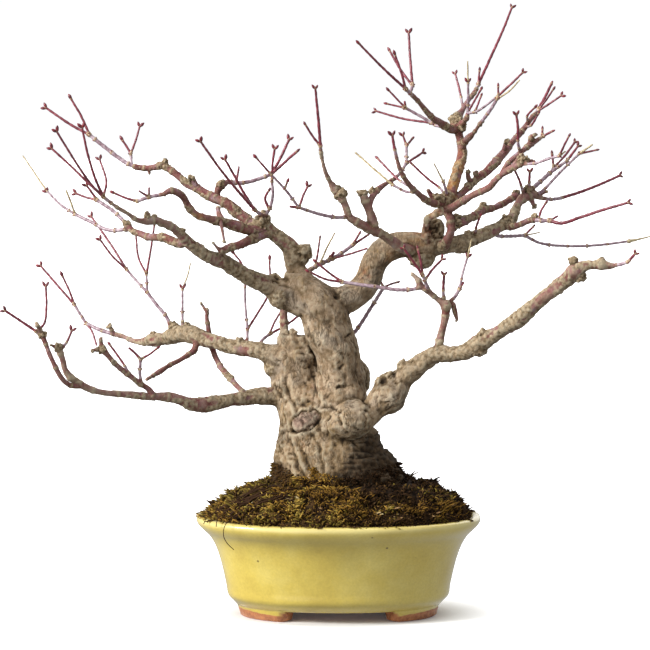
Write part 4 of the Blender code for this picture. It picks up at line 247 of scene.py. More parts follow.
# Sprays of twigs. Each starts with how far its collar reaches along the first route, and each route has its
# diameter at the start and the end, the buds at its end, and its points: across, up and depth. A number in place of
# the first point stands for the end of that route of the same spray.
SPRAYS = {
    "twigs_left_top": (1.6, (
        (2.3, 1.9, 0, ((-100.8, 223.8, 20.5), (-105.7, 226, 22.5), (-115, 232.7, 26), (-124, 239.9, 28.5))),
        (1.5, 1.2, 2, (0, (-133.4, 245, 31), (-140, 249.4, 33), (-146, 253.6, 35))),
        (1.4, 1.1, 1, (0, (-127.7, 248.4, 29), (-133.2, 258, 30))),
        (1.5, 1.1, 1, ((-103, 224.8, 21.5), (-103.6, 230.3, 23.5), (-107.7, 237.4, 25.5))),
        (1.2, 1.0, 2, ((-103.6, 230.3, 23.5), (-100.9, 237.5, 24.5), (-98.9, 244.6, 26))))),
    "twigs_left_inner": (2.0, (
        (2.1, 1.8, 0, ((-87.3, 210.3, -34), (-94.5, 208.9, -34), (-100.6, 206.8, -33))),
        (1.4, 1.1, 1, (0, (-105.8, 208.4, -33), (-112, 211, -32))),
        (1.3, 1.0, 0, ((-94.5, 208.9, -34), (-94.4, 213.6, -35))),
        (1.3, 1.0, 0, ((-94.5, 208.9, -34), (-99.5, 212, -37))))),
    "twigs_left_behind": (2.0, (
        (2.3, 1.9, 0, ((-55, 216.4, 11), (-48.6, 216, 12.5), (-39.6, 218, 14), (-33.8, 220.2, 15))),
        (1.7, 1.3, 2, (0, (-30.2, 226, 16.5), (-24.4, 238, 18.5))),
        (1.7, 1.3, 1, (0, (-27.5, 225.6, 14.5), (-20.8, 231.6, 14.5))),
        (1.4, 1.1, 0, ((-51, 216.2, 12), (-49.6, 224, 13.5))))),
    "twigs_left_fan": (2.0, (
        (1.9, 1.8, 0, ((-113.5, 206, -51), (-117.2, 209, -53))),
        (1.5, 1.1, 2, (0, (-120.6, 216.5, -56), (-124.9, 230.3, -61), (-127.8, 244, -65))),
        (1.4, 1.1, 2, (0, (-123.4, 215.4, -59), (-131, 226.4, -67), (-140.6, 242, -76))),
        (1.4, 1.1, 2, (0, (-123.8, 215, -53), (-133, 224, -53), (-143.2, 233.4, -53))),
        (1.3, 1.0, 2, (0, (-115.7, 216.5, -49), (-117.6, 223.7, -46), (-119.2, 228, -44))))),
    "twigs_left_middle": (3.0, (
        (2.0, 1.8, 0, ((-105.3, 195, 0), (-111.9, 201.6, 5), (-120.5, 207.5, 10))),
        (1.4, 1.1, 2, (0, (-125.2, 208.6, 13), (-131.4, 210.9, 16))),
        (1.3, 1.1, 2, (0, (-123.4, 211.8, 9), (-125.8, 215, 8))))),
    "twigs_left_lower": (2.6, (
        (2.0, 1.7, 0, ((-104.6, 192.8, -1), (-115.3, 192.6, 6), (-124, 196.8, 12), (-131.5, 200.4, 17))),
        (1.4, 1.2, 2, (0, (-138.6, 205.1, 22), (-145.5, 212, 27))),
        (1.0, 0.7, 0, (1, (-151.4, 220.8, 31), (-157.2, 229.4, 35))),
        (1.1, 0.9, 0, (0, (-133.9, 207.5, 15), (-135.8, 212.2, 14))))),
    "twigs_left_front": (2.6, (
        (2.1, 1.7, 0, ((-37.6, 199.4, -7), (-41.6, 202.4, -12))),
        (1.7, 1.2, 2, (0, (-49.6, 211.3, -23), (-58.5, 222.2, -36), (-69, 237, -50))),
        (1.6, 1.2, 2, (0, (-47.2, 211, -15), (-52.9, 221.3, -19), (-56.7, 228, -22))))),
    "twigs_left_upright": (2.4, (
        (1.8, 1.5, 0, ((-36.6, 199.4, -8), (-34, 204, -13), (-32.7, 210, -16), (-33.2, 217, -18))),
        (1.4, 1.1, 2, (0, (-32.8, 226, -20), (-31.7, 233.4, -22))),
        (1.5, 1.2, 1, ((-34.6, 203, -12), (-36.6, 208, -15), (-34.6, 212.4, -20))))),
    "twigs_middle_left_tip": (2.2, (
        (2.1, 1.8, 0, ((-111.6, 140.3, 57), (-119, 142.5, 61), (-126.2, 145.8, 65))),
        (1.5, 1.4, 0, (0, (-131.9, 155, 69))),
        (1.3, 1.1, 2, (1, (-140.5, 165, 74), (-148.9, 174.8, 79))),
        (1.2, 1.0, 1, (1, (-134.4, 162, 69), (-138, 169.8, 69))),
        (1.2, 1.0, 0, (0, (-123.6, 142.4, 62), (-121, 134.9, 58))))),
    "twigs_middle_left_long": (5.0, (
        (2.0, 1.7, 0, ((-82.8, 142, 33), (-85.6, 148.5, 34), (-91.3, 155.7, 36), (-95.6, 161.4, 38))),
        (1.5, 1.3, 0, (0, (-101.8, 168.1, 42), (-105.7, 172.7, 44))),
        (1.3, 1.1, 2, (1, (-114, 185.8, 52), (-123.5, 199.5, 60))),
        (1.2, 1.0, 2, (1, (-112.8, 179.4, 43), (-119.2, 188, 42))),
        (1.3, 1.2, 0, (0, (-95.9, 170.5, 39))),
        (1.2, 1.0, 1, (4, (-99.6, 178, 41), (-101.1, 190, 43))),
        (1.2, 1.0, 1, (4, (-93.8, 182, 36), (-91.8, 195.1, 33))))),
    "twigs_middle_left_up": (5.5, (
        (1.5, 1.2, 2, ((-78, 141.5, 29), (-78, 151.3, 30), (-77.9, 164, 31))),
        (0.9, 0.7, 0, ((-77.9, 163, 31), (-75.2, 170.4, 32), (-73.9, 175.8, 33))))),
    "twigs_middle_left_inner": (5.3, (
        (1.6, 1.4, 0, ((-46.2, 133.5, 11), (-45.6, 138.5, 12), (-45.5, 142.9, 12))),
        (1.3, 1.1, 0, (0, (-46.6, 156.1, 13), (-46.7, 172.4, 12))),
        (1.2, 1.0, 1, (1, (-49.2, 177, 12), (-52.4, 181, 12))),
        (1.3, 1.0, 1, (0, (-40.6, 150.6, 16), (-34.8, 161, 20), (-34.4, 177.9, 22))))),
    "twigs_middle_left_cross": (4.4, (
        (1.8, 1.5, 0, ((-40.2, 133.2, 10), (-37.6, 138, 14), (-34.5, 140.3, 17))),
        (1.2, 1.0, 1, (0, (-32.4, 145.6, 19), (-28.7, 152, 20))),
        (1.3, 1.0, 1, (0, (-25, 145.8, 20), (-19.5, 150, 21), (-13, 155, 22))))),
    "twigs_low_left_tip": (2.6, (
        (1.7, 1.3, 2, ((-148, 139.4, -47), (-151.9, 142.3, -47.7), (-157.2, 145.9, -48.4), (-167, 152.4, -49.8))),
        (1.4, 1.1, 2, ((-151.2, 141.8, -47.7), (-147.2, 145.6, -44.2), (-146, 154, -42.8), (-146.2, 165, -41.4))))),
    "twigs_low_left_bud": (3.0, (
        (1.5, 1.2, 2, ((-139.4, 132.6, -41.4), (-136.2, 136, -40), (-133.2, 142.6, -38.6))),)),
    "twigs_low_left_rise": (2.8, (
        (1.8, 1.6, 0, ((-98.6, 115, -26.7), (-99.4, 121, -24.6), (-99, 127.9, -23.2))),
        (1.5, 1.2, 0, (0, (-101.4, 130.5, -23.9), (-104.8, 133.5, -25.3))),
        (1.3, 1.0, 1, (0, (-95.4, 129.8, -21.8), (-90.8, 133.2, -19.7))))),
    "twigs_low_left_dark": (2.6, (
        (1.5, 1.1, 1, ((-104.2, 119.4, -29.5), (-107, 124.6, -27.4), (-114.3, 135, -26))),)),
    "twigs_fork": (3.2, (
        (2.4, 2.0, 0, ((-15.4, 171.8, 15.5), (-11.6, 174.2, 17), (-3, 178.2, 19))),
        (2.0, 1.8, 0, (0, (2, 181.3, 20), (7.1, 185, 22))),
        (1.4, 1.1, 1, (1, (10.2, 190.4, 24))),
        (1.4, 1.1, 1, (1, (14.3, 189.8, 26))),
        (1.2, 1.0, 0, (0, (5, 180.3, 17), (14.2, 183.3, 15))),
        (1.3, 1.0, 1, ((-11.6, 174.2, 17), (-10.5, 180, 19), (-9.3, 188.4, 22))),
        (1.1, 0.8, 0, ((-9.4, 175.2, 17.5), (-5.6, 184, 15), (-1.9, 191, 13))),
        (1.9, 1.6, 0, ((-5, 177.2, 18.5), (-2.4, 181.2, 17.5))))),
    "twigs_behind_arm": (5.0, (
        (2.1, 1.8, 0, ((3.5, 136.5, 6), (9, 142.6, 10), (16, 153.4, 12), (22.5, 163.6, 13))),
        (1.2, 1.0, 0, (0, (21.2, 167, 14))),
        (1.2, 1.0, 1, (0, (25.4, 165.2, 12), (29.4, 166.4, 11))))),
    "twigs_front_top": (1.4, (
        (1.7, 1.2, 2, ((-8.8, 231.6, -34), (-10.1, 248.4, -41), (-11.6, 263.4, -47))),
        (1.3, 1.1, 1, ((-9.1, 234.4, -35), (-12.7, 239, -36), (-16.5, 245, -37))))),
    "twigs_front_left": (3.4, (
        (1.9, 1.6, 0, ((5.5, 199, -22), (-1.6, 198.8, -26), (-10, 200.6, -30), (-19.7, 203.7, -36))),
        (1.5, 1.2, 0, (0, (-26.9, 213, -41), (-33.7, 220.3, -45))),
        (1.2, 1.0, 1, (1, (-41, 228.5, -49))),
        (1.2, 1.0, 1, ((-26.9, 213, -41), (-25.5, 216.4, -41))),
        (1.3, 1.1, 2, (0, (-16.8, 211.5, -34), (-15.2, 214.6, -33))),
        (1.6, 1.2, 0, (0, (-24.2, 204.2, -38))))),
    "twigs_front_right": (2.2, (
        (1.9, 1.6, 0, ((28, 218.1, -1), (31, 221.4, 3), (33.9, 226, 8))),
        (1.4, 1.3, 0, (0, (33.9, 234.6, 12))),
        (1.2, 1.0, 2, (1, (31.9, 240, 13))),
        (1.2, 1.0, 1, (1, (36.8, 238, 16))),
        (1.4, 1.1, 2, (0, (37.6, 228.2, 12), (42.3, 231.4, 17))))),
    "twigs_crown_left_tip": (2.2, (
        (1.7, 1.3, 2, ((29, 228, -36), (27.8, 233.6, -38), (26.7, 240.2, -41))),)),
    "twigs_crown_left_dead": (3.0, (
        (1.5, 1.3, 0, ((38.6, 211.4, -24), (33.8, 211.6, -21), (27, 215, -19))),
        (1.2, 0.9, 0, (0, (18, 222.6, -16), (8.5, 231, -12))))),
    "twigs_crown_left_red": (2.8, (
        (1.4, 1.1, 1, ((36.4, 213.6, -27), (31.8, 216.2, -22), (19.5, 228, -12))),)),
    "twigs_crown_red": (4.8, (
        (1.4, 1.1, 1, ((52.6, 207.6, -7), (51.6, 212.2, -1), (44.2, 218.3, 1), (36.6, 225.4, 1))),)),
    "twigs_crown_dead": (4.2, (
        (1.6, 1.4, 0, ((54.4, 208, -5), (53.6, 212, -9), (52.2, 216.6, -13))),
        (1.1, 0.7, 0, (0, (47.6, 225.6, -19))))),
    "twigs_apex_left": (1.6, (
        (2.2, 1.9, 0, ((37.3, 259, -20), (33.4, 262.6, -25))),
        (1.5, 1.1, 1, (0, (21.8, 273.3, -33), (10, 285.3, -41))),
        (1.3, 1.1, 1, (0, (31, 271.5, -27), (28, 279.8, -29))),
        (1.8, 1.5, 0, ((35.6, 260.6, -22.2), (36.8, 264.2, -18))),
        (1.5, 1.2, 2, (3, (35.8, 275.6, -13), (34.8, 291, -7))),
        (1.3, 1.1, 1, (3, (31, 272, -14), (25.4, 281.5, -10))))),
    "twigs_apex_pale": (3.2, (
        (1.7, 1.4, 0, ((52.4, 243.8, 2), (48.6, 244.6, 7), (41.6, 248.7, 8), (33.3, 253.2, 8))),
        (1.1, 0.9, 1, (0, (25, 261.9, 7))),
        (1.1, 0.9, 1, (0, (24.2, 255.3, 11))),
        (1.2, 1.0, 0, (0, (32.9, 256.4, 7))),
        (1.3, 1.0, 2, ((46.6, 245.8, 7.6), (32.7, 247.8, 13), (18.2, 251.8, 19))))),
    "twigs_apex_right": (2.4, (
        (1.8, 1.6, 0, ((70.3, 245.2, -13), (76.6, 253.8, -20), (79.5, 258.8, -24))),
        (1.2, 1.0, 1, (0, (79.4, 264, -24))),
        (1.0, 0.7, 0, ((78.8, 257.6, -23), (85, 261.7, -28), (90, 267, -33))))),
    "twigs_apex_middle": (1.0, (
        (2.1, 1.7, 0, ((63.9, 248.4, -1), (64.2, 250.6, -2))),
        (1.5, 1.2, 2, (0, (64.5, 258, -4), (64.4, 266.6, -6))),
        (0.9, 0.7, 0, ((64.4, 266, -6), (64.2, 276.4, -8))),
        (1.2, 1.0, 1, (0, (68, 257.4, 3), (70.8, 262.4, 7))),
        (1.4, 1.2, 0, (0, (67.9, 251.2, -6), (78.5, 258.4, -12))),
        (1.3, 1.1, 2, (4, (85.6, 265, -16), (92, 271.2, -20))),
        (1.1, 0.9, 1, ((67.9, 251.2, -6), (71, 259.3, -4))))),
    "twigs_apex_top": (2.4, (
        (1.9, 1.6, 0, ((67.8, 261, 21), (69.4, 264.6, 23))),
        (1.5, 1.1, 2, (0, (76.4, 280, 30), (82.6, 294, 37), (86.2, 303.4, 41))),
        (1.2, 1.0, 1, (0, (70.1, 271.8, 23))))),
    "twigs_apex_thin": (2.6, (
        (1.3, 1.0, 2, ((62, 253, 15), (60.2, 262, 20), (57.9, 270.6, 24))),)),
    "twigs_first_tip": (0.6, (
        (1.7, 1.3, 1, ((98, 250.4, 47), (101.6, 256.4, 51), (106, 265.4, 56))),
        (1.2, 1.0, 1, ((99.6, 252.6, 48.6), (103.6, 257.6, 47), (106.8, 262.4, 45))),
        (1.3, 1.0, 2, ((98.8, 251.6, 48), (105, 255.4, 45), (111.2, 259.6, 42))))),
    "twigs_first_side": (3.0, (
        (1.2, 1.0, 1, ((94.4, 246, 44), (93.8, 249, 40), (97.8, 253.6, 36))),)),
    "twigs_first_low": (3.0, (
        (1.3, 1.1, 1, ((92.8, 243.6, 41), (95.6, 244.4, 37), (99.6, 250.6, 34))),)),
    "twigs_second_red": (3.3, (
        (1.6, 1.3, 2, ((90.6, 231, -27.5), (89.6, 234.4, -30), (89.3, 244, -35), (88.5, 250.4, -38))),)),
    "twigs_second_top": (1.2, (
        (1.8, 1.4, 0, ((99.3, 237.4, -25), (101.4, 239, -25))),
        (1.3, 1.1, 1, (0, (101.5, 242.6, -24))),
        (1.4, 1.1, 1, (0, (106.6, 241.7, -29))))),
    "twigs_second_long": (4.8, (
        (1.7, 1.3, 0, ((90.4, 225.2, -37), (97.6, 225.7, -43), (105, 228, -48), (110, 229.4, -51))),
        (1.2, 1.0, 1, (0, (112.4, 234.6, -54), (114.8, 239.3, -57))),
        (1.0, 0.8, 0, (0, (113, 231.6, -52))))),
    "twigs_third_violet": (3.4, (
        (2.4, 2.1, 0, ((94.8, 211.6, 25), (99, 215.2, 29), (105.2, 220.8, 34))),
        (1.6, 1.4, 0, (0, (107.2, 223.6, 36))),
        (1.4, 1.2, 1, (1, (106.4, 230.4, 38))),
        (1.3, 1.1, 2, (1, (112, 228.6, 41), (118, 236.6, 47))),
        (1.9, 1.6, 0, (0, (113.8, 227, 33))),
        (1.4, 1.1, 2, (4, (119.6, 234.6, 36))))),
    "twigs_third_dark": (3.2, (
        (1.7, 1.3, 0, ((98.6, 210, 27.5), (101.6, 212, 23), (110, 220.8, 18), (120, 230.6, 12))),
        (1.2, 0.9, 0, (0, (126.4, 235, 9))),
        (1.2, 0.9, 1, (0, (128.4, 232.3, 10))))),
    "twigs_third_long": (2.4, (
        (1.9, 1.4, 2, ((101.2, 208.4, 29), (106, 207.8, 33), (116, 210, 41), (128, 214.3, 50),
                       (140.6, 219.8, 58))),)),
    "twigs_third_up": (3.8, (
        (1.6, 1.3, 2, ((95, 211.6, 24), (95.1, 216.4, 21), (95.3, 222, 19))),)),
    "twigs_third_red": (3.6, (
        (1.5, 1.1, 1, ((92.4, 209.6, 24), (90.2, 217, 19), (87.6, 222.8, 15))),)),
    "twigs_right_upper": (0.6, (
        (2.5, 2.1, 0, ((98.2, 197.6, 2), (101, 197.2, 0), (105.2, 197.2, -2))),
        (2.0, 1.4, 2, (0, (110, 195.9, -6), (120, 198.6, -14), (132, 202.6, -22),
                       (145, 206.3, -30))),
        (1.3, 1.1, 0, (0, (109.3, 199.4, 1))),
        (1.3, 1.1, 1, ((99.8, 197.4, 1), (101.2, 202.4, 4), (103.3, 205.8, 6))))),
    "twigs_right_lower": (4.4, (
        (2.0, 1.8, 0, ((76, 191.4, 11.5), (79.6, 189.6, 17), (85, 189.4, 23), (92.8, 189.8, 31))),
        (1.6, 1.2, 0, (0, (100, 186.2, 38), (114, 184.5, 48), (130, 185, 57), (145, 186.9, 62))),
        (1.8, 0.7, 0, ((144.4, 186.8, 61.8), (148, 187.5, 63), (155.7, 189.4, 66))),
        (1.2, 1.0, 1, (0, (97.2, 194.2, 32))),
        (0.9, 0.7, 0, (0, (100.3, 191.2, 36))))),
    "twigs_right_small": (4.0, (
        (1.4, 1.1, 1, ((68.2, 189.6, 6), (68.8, 194.4, 0), (70.8, 199.6, -4))),)),
    "twigs_low_right_long": (3.2, (
        (2.0, 1.7, 0, ((41.8, 163.6, -25), (34, 162.6, -25), (18, 164.2, -24), (1.8, 166.6, -22))),
        (1.4, 1.1, 1, (0, (-4, 170.6, -23), (-11.3, 176.6, -25))),
        (1.3, 1.1, 1, (0, (-6, 167.8, -25), (-14.8, 171.8, -28))))),
    "twigs_low_right_reds": (4.1, (
        (2.0, 1.7, 0, ((45.6, 161.2, -24), (43.6, 166, -29), (42, 170, -31))),
        (1.5, 1.2, 2, (0, (37.6, 176.4, -34), (32.4, 183.6, -37))),
        (1.3, 1.1, 1, (0, (41, 177, -31), (39.5, 183.2, -31))),
        (1.4, 1.2, 2, ((43, 167.4, -30), (47.6, 173.6, -28), (52, 178.2, -27))))),
    "twigs_low_right_up": (5.0, (
        (1.7, 1.4, 2, ((53, 155.4, -22.4), (52.4, 161, -24), (52.8, 170.6, -26))),)),
    "twigs_low_right_side": (4.4, (
        (2.0, 1.7, 0, ((54.6, 155.6, -21.8), (58.4, 159.4, -18), (60.4, 163, -17))),
        (1.4, 1.2, 2, (0, (62.2, 171.6, -15), (64.6, 179.6, -13))),
        (0.9, 0.7, 0, ((64.5, 179, -13.2), (66.3, 187.6, -11))),
        (1.4, 1.2, 0, (0, (62.4, 166.2, -16))))),
    "twigs_low_right_tip": (2.2, (
        (2.0, 1.7, 0, ((137.3, 174.8, -66), (140.8, 175.3, -68), (144.6, 176.6, -70))),
        (1.6, 1.4, 2, (0, (148.4, 181, -73))))),
}


def with_forks(routes):
    """The routes of a spray with each number in place of a first point read as the end of that route."""
    whole = []
    for start, end, buds, points in routes:
        if isinstance(points[0], int):
            points = (whole[points[0]][3][-1], *points[1:])
        whole.append((start, end, buds, points))
    return whole


SPRAYS = {name: (reach, with_forks(routes)) for name, (reach, routes) in SPRAYS.items()}


# shapes worked out as arrays


def in_space(rows):
    """Rows (across, up, depth) as points: EYE + (drawn - EYE) * (depth + 1500) / 1500, and that last factor."""
    rows = np.asarray(rows, float)
    drawn = np.stack([rows[:, 0], np.zeros(len(rows)), rows[:, 1]], axis=1)
    factor = (rows[:, 2] - EYE[1]) / -EYE[1]
    return EYE + (drawn - EYE) * factor[:, None], factor


def as_seen(points):
    """The (across, up) at which each point is seen from EYE: the inverse of in_space."""
    factor = (points[:, 1] - EYE[1]) / -EYE[1]
    seen = EYE + (points - EYE) / factor[:, None]
    return seen[:, 0], seen[:, 2]


def lattice(points, seed):
    """A number from 0 to 1 for each whole-number point, from the fractional part of a large sine of it."""
    mixed = points @ np.array([127.1, 311.7, 74.7]) + seed * 19.19
    return np.modf(np.abs(np.sin(mixed) * 43758.5453))[0]


def noise(points, seed=0):
    """Smooth noise from -1 to 1: the eight lattice values round a point, mixed by 3t^2 - 2t^3 along each axis."""
    cell = np.floor(points)
    t = points - cell
    t = t * t * (3 - 2 * t)
    total = np.zeros(len(points))
    for dx in (0, 1):
        for dy in (0, 1):
            for dz in (0, 1):
                weight = ((t[:, 0] if dx else 1 - t[:, 0]) * (t[:, 1] if dy else 1 - t[:, 1])
                          * (t[:, 2] if dz else 1 - t[:, 2]))
                total += weight * lattice(cell + (dx, dy, dz), seed)
    return total * 2 - 1


def fractal(points, octaves, seed=0):
    """Noise at scales 1, 1/2, 1/4 and so on, each at half the strength of the one before."""
    total = np.zeros(len(points))
    for octave in range(octaves):
        total += noise(points * 2 ** octave, seed + octave) / 2 ** octave
    return total


def noise_rows(points, *seeds):
    """Several noises side by side, one for each seed."""
    return np.stack([noise(points, seed) for seed in seeds], axis=1)


def all_round(sides):
    """Angles at even steps round a full turn."""
    return np.arange(sides) * math.tau / sides


def step_up(values, low, high):
    """0 below low, 1 above high, and 3t^2 - 2t^3 between them."""
    t = np.clip((values - low) / (high - low), 0, 1)
    return t * t * (3 - 2 * t)


def smooth_route(columns, step):
    """Rows on a cubic Hermite curve through the given rows, every step or so along the chord length."""
    columns = np.asarray(columns, float)
    chord = np.linalg.norm(np.diff(columns[:, :3], axis=0), axis=1)
    at = np.concatenate([[0], np.cumsum(chord)])
    slopes = np.gradient(columns, at, axis=0) if len(at) > 2 else np.repeat(np.diff(columns, axis=0) / chord, 2, 0)
    where = np.linspace(0, at[-1], max(3, int(math.ceil(at[-1] / step)) + 1))
    part = np.clip(np.searchsorted(at, where, side="right") - 1, 0, len(chord) - 1)
    h = chord[part][:, None]
    t = ((where - at[part]) / chord[part])[:, None]
    return ((2 * t ** 3 - 3 * t ** 2 + 1) * columns[part] + (t ** 3 - 2 * t ** 2 + t) * h * slopes[part]
            + (3 * t ** 2 - 2 * t ** 3) * columns[part + 1] + (t ** 3 - t ** 2) * h * slopes[part + 1])


def frames(path):
    """Unit vectors along a path and two across it, the first of them square to a fixed slanting direction."""
    along = np.gradient(path, axis=0)
    along /= np.linalg.norm(along, axis=1)[:, None]
    first = np.cross(along, (0.31, -0.9, 0.27))
    first /= np.linalg.norm(first, axis=1)[:, None]
    return along, first, np.cross(along, first)


def grid_faces(rows, sides, start=0):
    """Quads over a grid of rings that closes round, with the corner numbers of each."""
    row, side = np.meshgrid(np.arange(rows - 1), np.arange(sides), indexing="ij")
    low, after = row * sides, (side + 1) % sides
    quads = np.stack([low + side, low + after, low + sides + after, low + sides + side], axis=-1)
    return quads.reshape(-1, 4) + start


def swept(path, radii, sides, round_ends=True):
    """A closed tube: rings path + r (cos a first + sin a other), then rings that shrink as a ball to each end."""
    along, first, other = frames(path)
    angles = all_round(sides)
    spokes = np.cos(angles)[None, :, None] * first[:, None] + np.sin(angles)[None, :, None] * other[:, None]
    rings = path[:, None] + radii[:, None, None] * spokes
    if round_ends:
        turn = np.radians([72.0, 45.0, 20.0])
        lower = (path[0] + radii[0] * (np.cos(turn)[:, None, None] * spokes[0]
                                       - 0.7 * np.sin(turn)[:, None, None] * along[0]))
        upper = (path[-1] + radii[-1] * (np.cos(turn[::-1])[:, None, None] * spokes[-1]
                                         + 0.7 * np.sin(turn[::-1])[:, None, None] * along[-1]))
        rings = np.concatenate([lower, rings, upper])
        ends = path[0] - 0.7 * radii[0] * along[0], path[-1] + 0.7 * radii[-1] * along[-1]
    else:
        ends = path[0], path[-1]
    return closed_rings(rings, *ends)


def closed_rings(rings, first_end, last_end):
    """Points, quads and end triangles of a stack of rings that is closed by a point at each end."""
    rows, sides = rings.shape[:2]
    points = np.vstack([rings.reshape(-1, 3), first_end, last_end])
    side = np.arange(sides)
    after = (side + 1) % sides
    first, last = rows * sides, (rows - 1) * sides
    low = np.stack([np.full(sides, first), after, side], axis=1)
    high = np.stack([np.full(sides, first + 1), side + last, after + last], axis=1)
    return points, grid_faces(rows, sides), np.vstack([low, high])


def joined(parts):
    """Several (points, quads, triangles) as one, with the corner numbers of the later ones moved up."""
    points, quads, triangles, start = [], [], [], 0
    for some_points, some_quads, some_triangles in parts:
        points.append(some_points)
        quads.append(some_quads + start)
        triangles.append(some_triangles + start)
        start += len(some_points)
    return np.vstack(points), np.vstack(quads), np.vstack(triangles)


def mesh_object(name, points, quads, triangles=np.zeros((0, 3), int), attributes=None):
    """A mesh object at the origin from points in millimetres, quads, triangles and named values per point."""
    mesh = bpy.data.meshes.new(name)
    mesh.vertices.add(len(points))
    mesh.vertices.foreach_set("co", (np.asarray(points) * MM).astype(np.float32).ravel())
    corners = np.concatenate([quads.ravel(), triangles.ravel()]).astype(np.int32)
    sizes = np.concatenate([np.full(len(quads), 4), np.full(len(triangles), 3)])
    mesh.loops.add(len(corners))
    mesh.loops.foreach_set("vertex_index", corners)
    mesh.polygons.add(len(sizes))
    mesh.polygons.foreach_set("loop_start", (np.cumsum(sizes) - sizes).astype(np.int32))
    mesh.polygons.foreach_set("use_smooth", np.ones(len(sizes), bool))
    mesh.update(calc_edges=True)
    mesh.validate()
    for key, values in (attributes or {}).items():
        mesh.attributes.new(key, "FLOAT", "POINT").data.foreach_set("value", np.asarray(values, np.float32))
    return in_scene(name, mesh)


def in_scene(name, data):
    obj = bpy.data.objects.new(name, data)
    bpy.context.scene.collection.objects.link(obj)
    return obj


def points_of(mesh):
    """A mesh's points in millimetres."""
    points = np.empty(len(mesh.vertices) * 3)
    mesh.vertices.foreach_get("co", points)
    return points.reshape(-1, 3) / MM


def take_on(obj):
    """Makes what an object's modifiers give its own mesh."""
    made = bpy.data.meshes.new_from_object(obj.evaluated_get(bpy.context.evaluated_depsgraph_get()))
    obj.modifiers.clear()
    obj.data = made


def dressed(obj, finish, slot, *nodes):
    """Gives a piece its finish, puts it on the part's one body, and hides the solids that it stands for."""
    obj.data.materials.append(finish)
    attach(obj, "root")
    if nodes:
        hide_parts(*nodes)


# finishes


def linear(code):
    """A colour written as rrggbb, as the linear values that a shader takes."""
    parts = np.array([int(code[i:i + 2], 16) for i in (0, 2, 4)]) / 255
    return (*np.where(parts <= 0.04045, parts / 12.92, ((parts + 0.055) / 1.055) ** 2.4), 1.0)


class Finish:
    """A Principled material, with short ways to add nodes to it."""

    def __init__(self, name, roughness, **sockets):
        self.material = bpy.data.materials.new(name)
        self.material.use_nodes = True
        self.tree = self.material.node_tree
        self.shader = self.tree.nodes["Principled BSDF"]
        self.shader.inputs["Roughness"].default_value = roughness
        for key, value in sockets.items():
            self.shader.inputs[key.replace("_", " ")].default_value = value
        self.place = self.tree.nodes.new("ShaderNodeTexCoord").outputs["Object"]

    def add(self, kind, inputs, **settings):
        made = self.tree.nodes.new("ShaderNode" + kind)
        for key, value in settings.items():
            setattr(made, key, value)
        self.give(made, inputs)
        return made

    def give(self, node, inputs):
        """Links or sets some of a node's inputs."""
        for key, value in inputs.items():
            if isinstance(value, bpy.types.NodeSocket):
                self.tree.links.new(value, node.inputs[key])
            else:
                node.inputs[key].default_value = value

    def stretched(self, x, y, z):
        return self.add("VectorMath", {0: self.place, 1: (x, y, z)}, operation="MULTIPLY").outputs[0]

    def noise(self, scale, detail=3.0, roughness=0.55, place=None, distortion=0.0):
        inputs = {"Vector": place or self.place, "Scale": scale, "Detail": detail, "Roughness": roughness,
                  "Distortion": distortion}
        return self.add("TexNoise", inputs).outputs["Fac"]

    def value(self, name):
        return self.add("Attribute", {}, attribute_name=name).outputs["Fac"]

    def ramp(self, source, *stops):
        made = self.add("ValToRGB", {"Fac": source})
        points = made.color_ramp.elements
        while len(points) < len(stops):
            points.new(0.5)
        for point, (place, colour) in zip(points, stops):
            point.position = place
            point.color = linear(colour)
        return made.outputs["Color"]

    def span(self, source, low, high, start=0.0, end=1.0):
        """Source from low to high as start to end, and no further."""
        inputs = {"Value": source, "From Min": low, "From Max": high, "To Min": start, "To Max": end}
        return self.add("MapRange", inputs).outputs["Result"]

    def mix(self, share, first, second, blend="MIX"):
        made = self.add("Mix", {}, data_type="RGBA", blend_type=blend)
        self.give(made, {0: share, 6: first, 7: second})
        return made.outputs[2]

    def times(self, first, second):
        return self.add("Math", {0: first, 1: second}, operation="MULTIPLY").outputs[0]

    def minus(self, first, second):
        return self.add("Math", {0: first, 1: second}, operation="SUBTRACT").outputs[0]

    def along(self, axis):
        return self.add("SeparateXYZ", {0: self.place}).outputs[axis]

    def shaded(self, colour, factor):
        """The colour times a plain factor."""
        return self.mix(1.0, colour, self.add("CombineXYZ", {0: factor, 1: factor, 2: factor}).outputs[0], "MULTIPLY")

    def colour(self, source):
        self.tree.links.new(source, self.shader.inputs["Base Color"])

    def rough(self, source):
        self.tree.links.new(source, self.shader.inputs["Roughness"])

    def bump(self, source, distance, strength=1.0):
        made = self.add("Bump", {"Height": source, "Distance": distance, "Strength": strength})
        self.tree.links.new(made.outputs["Normal"], self.shader.inputs["Normal"])


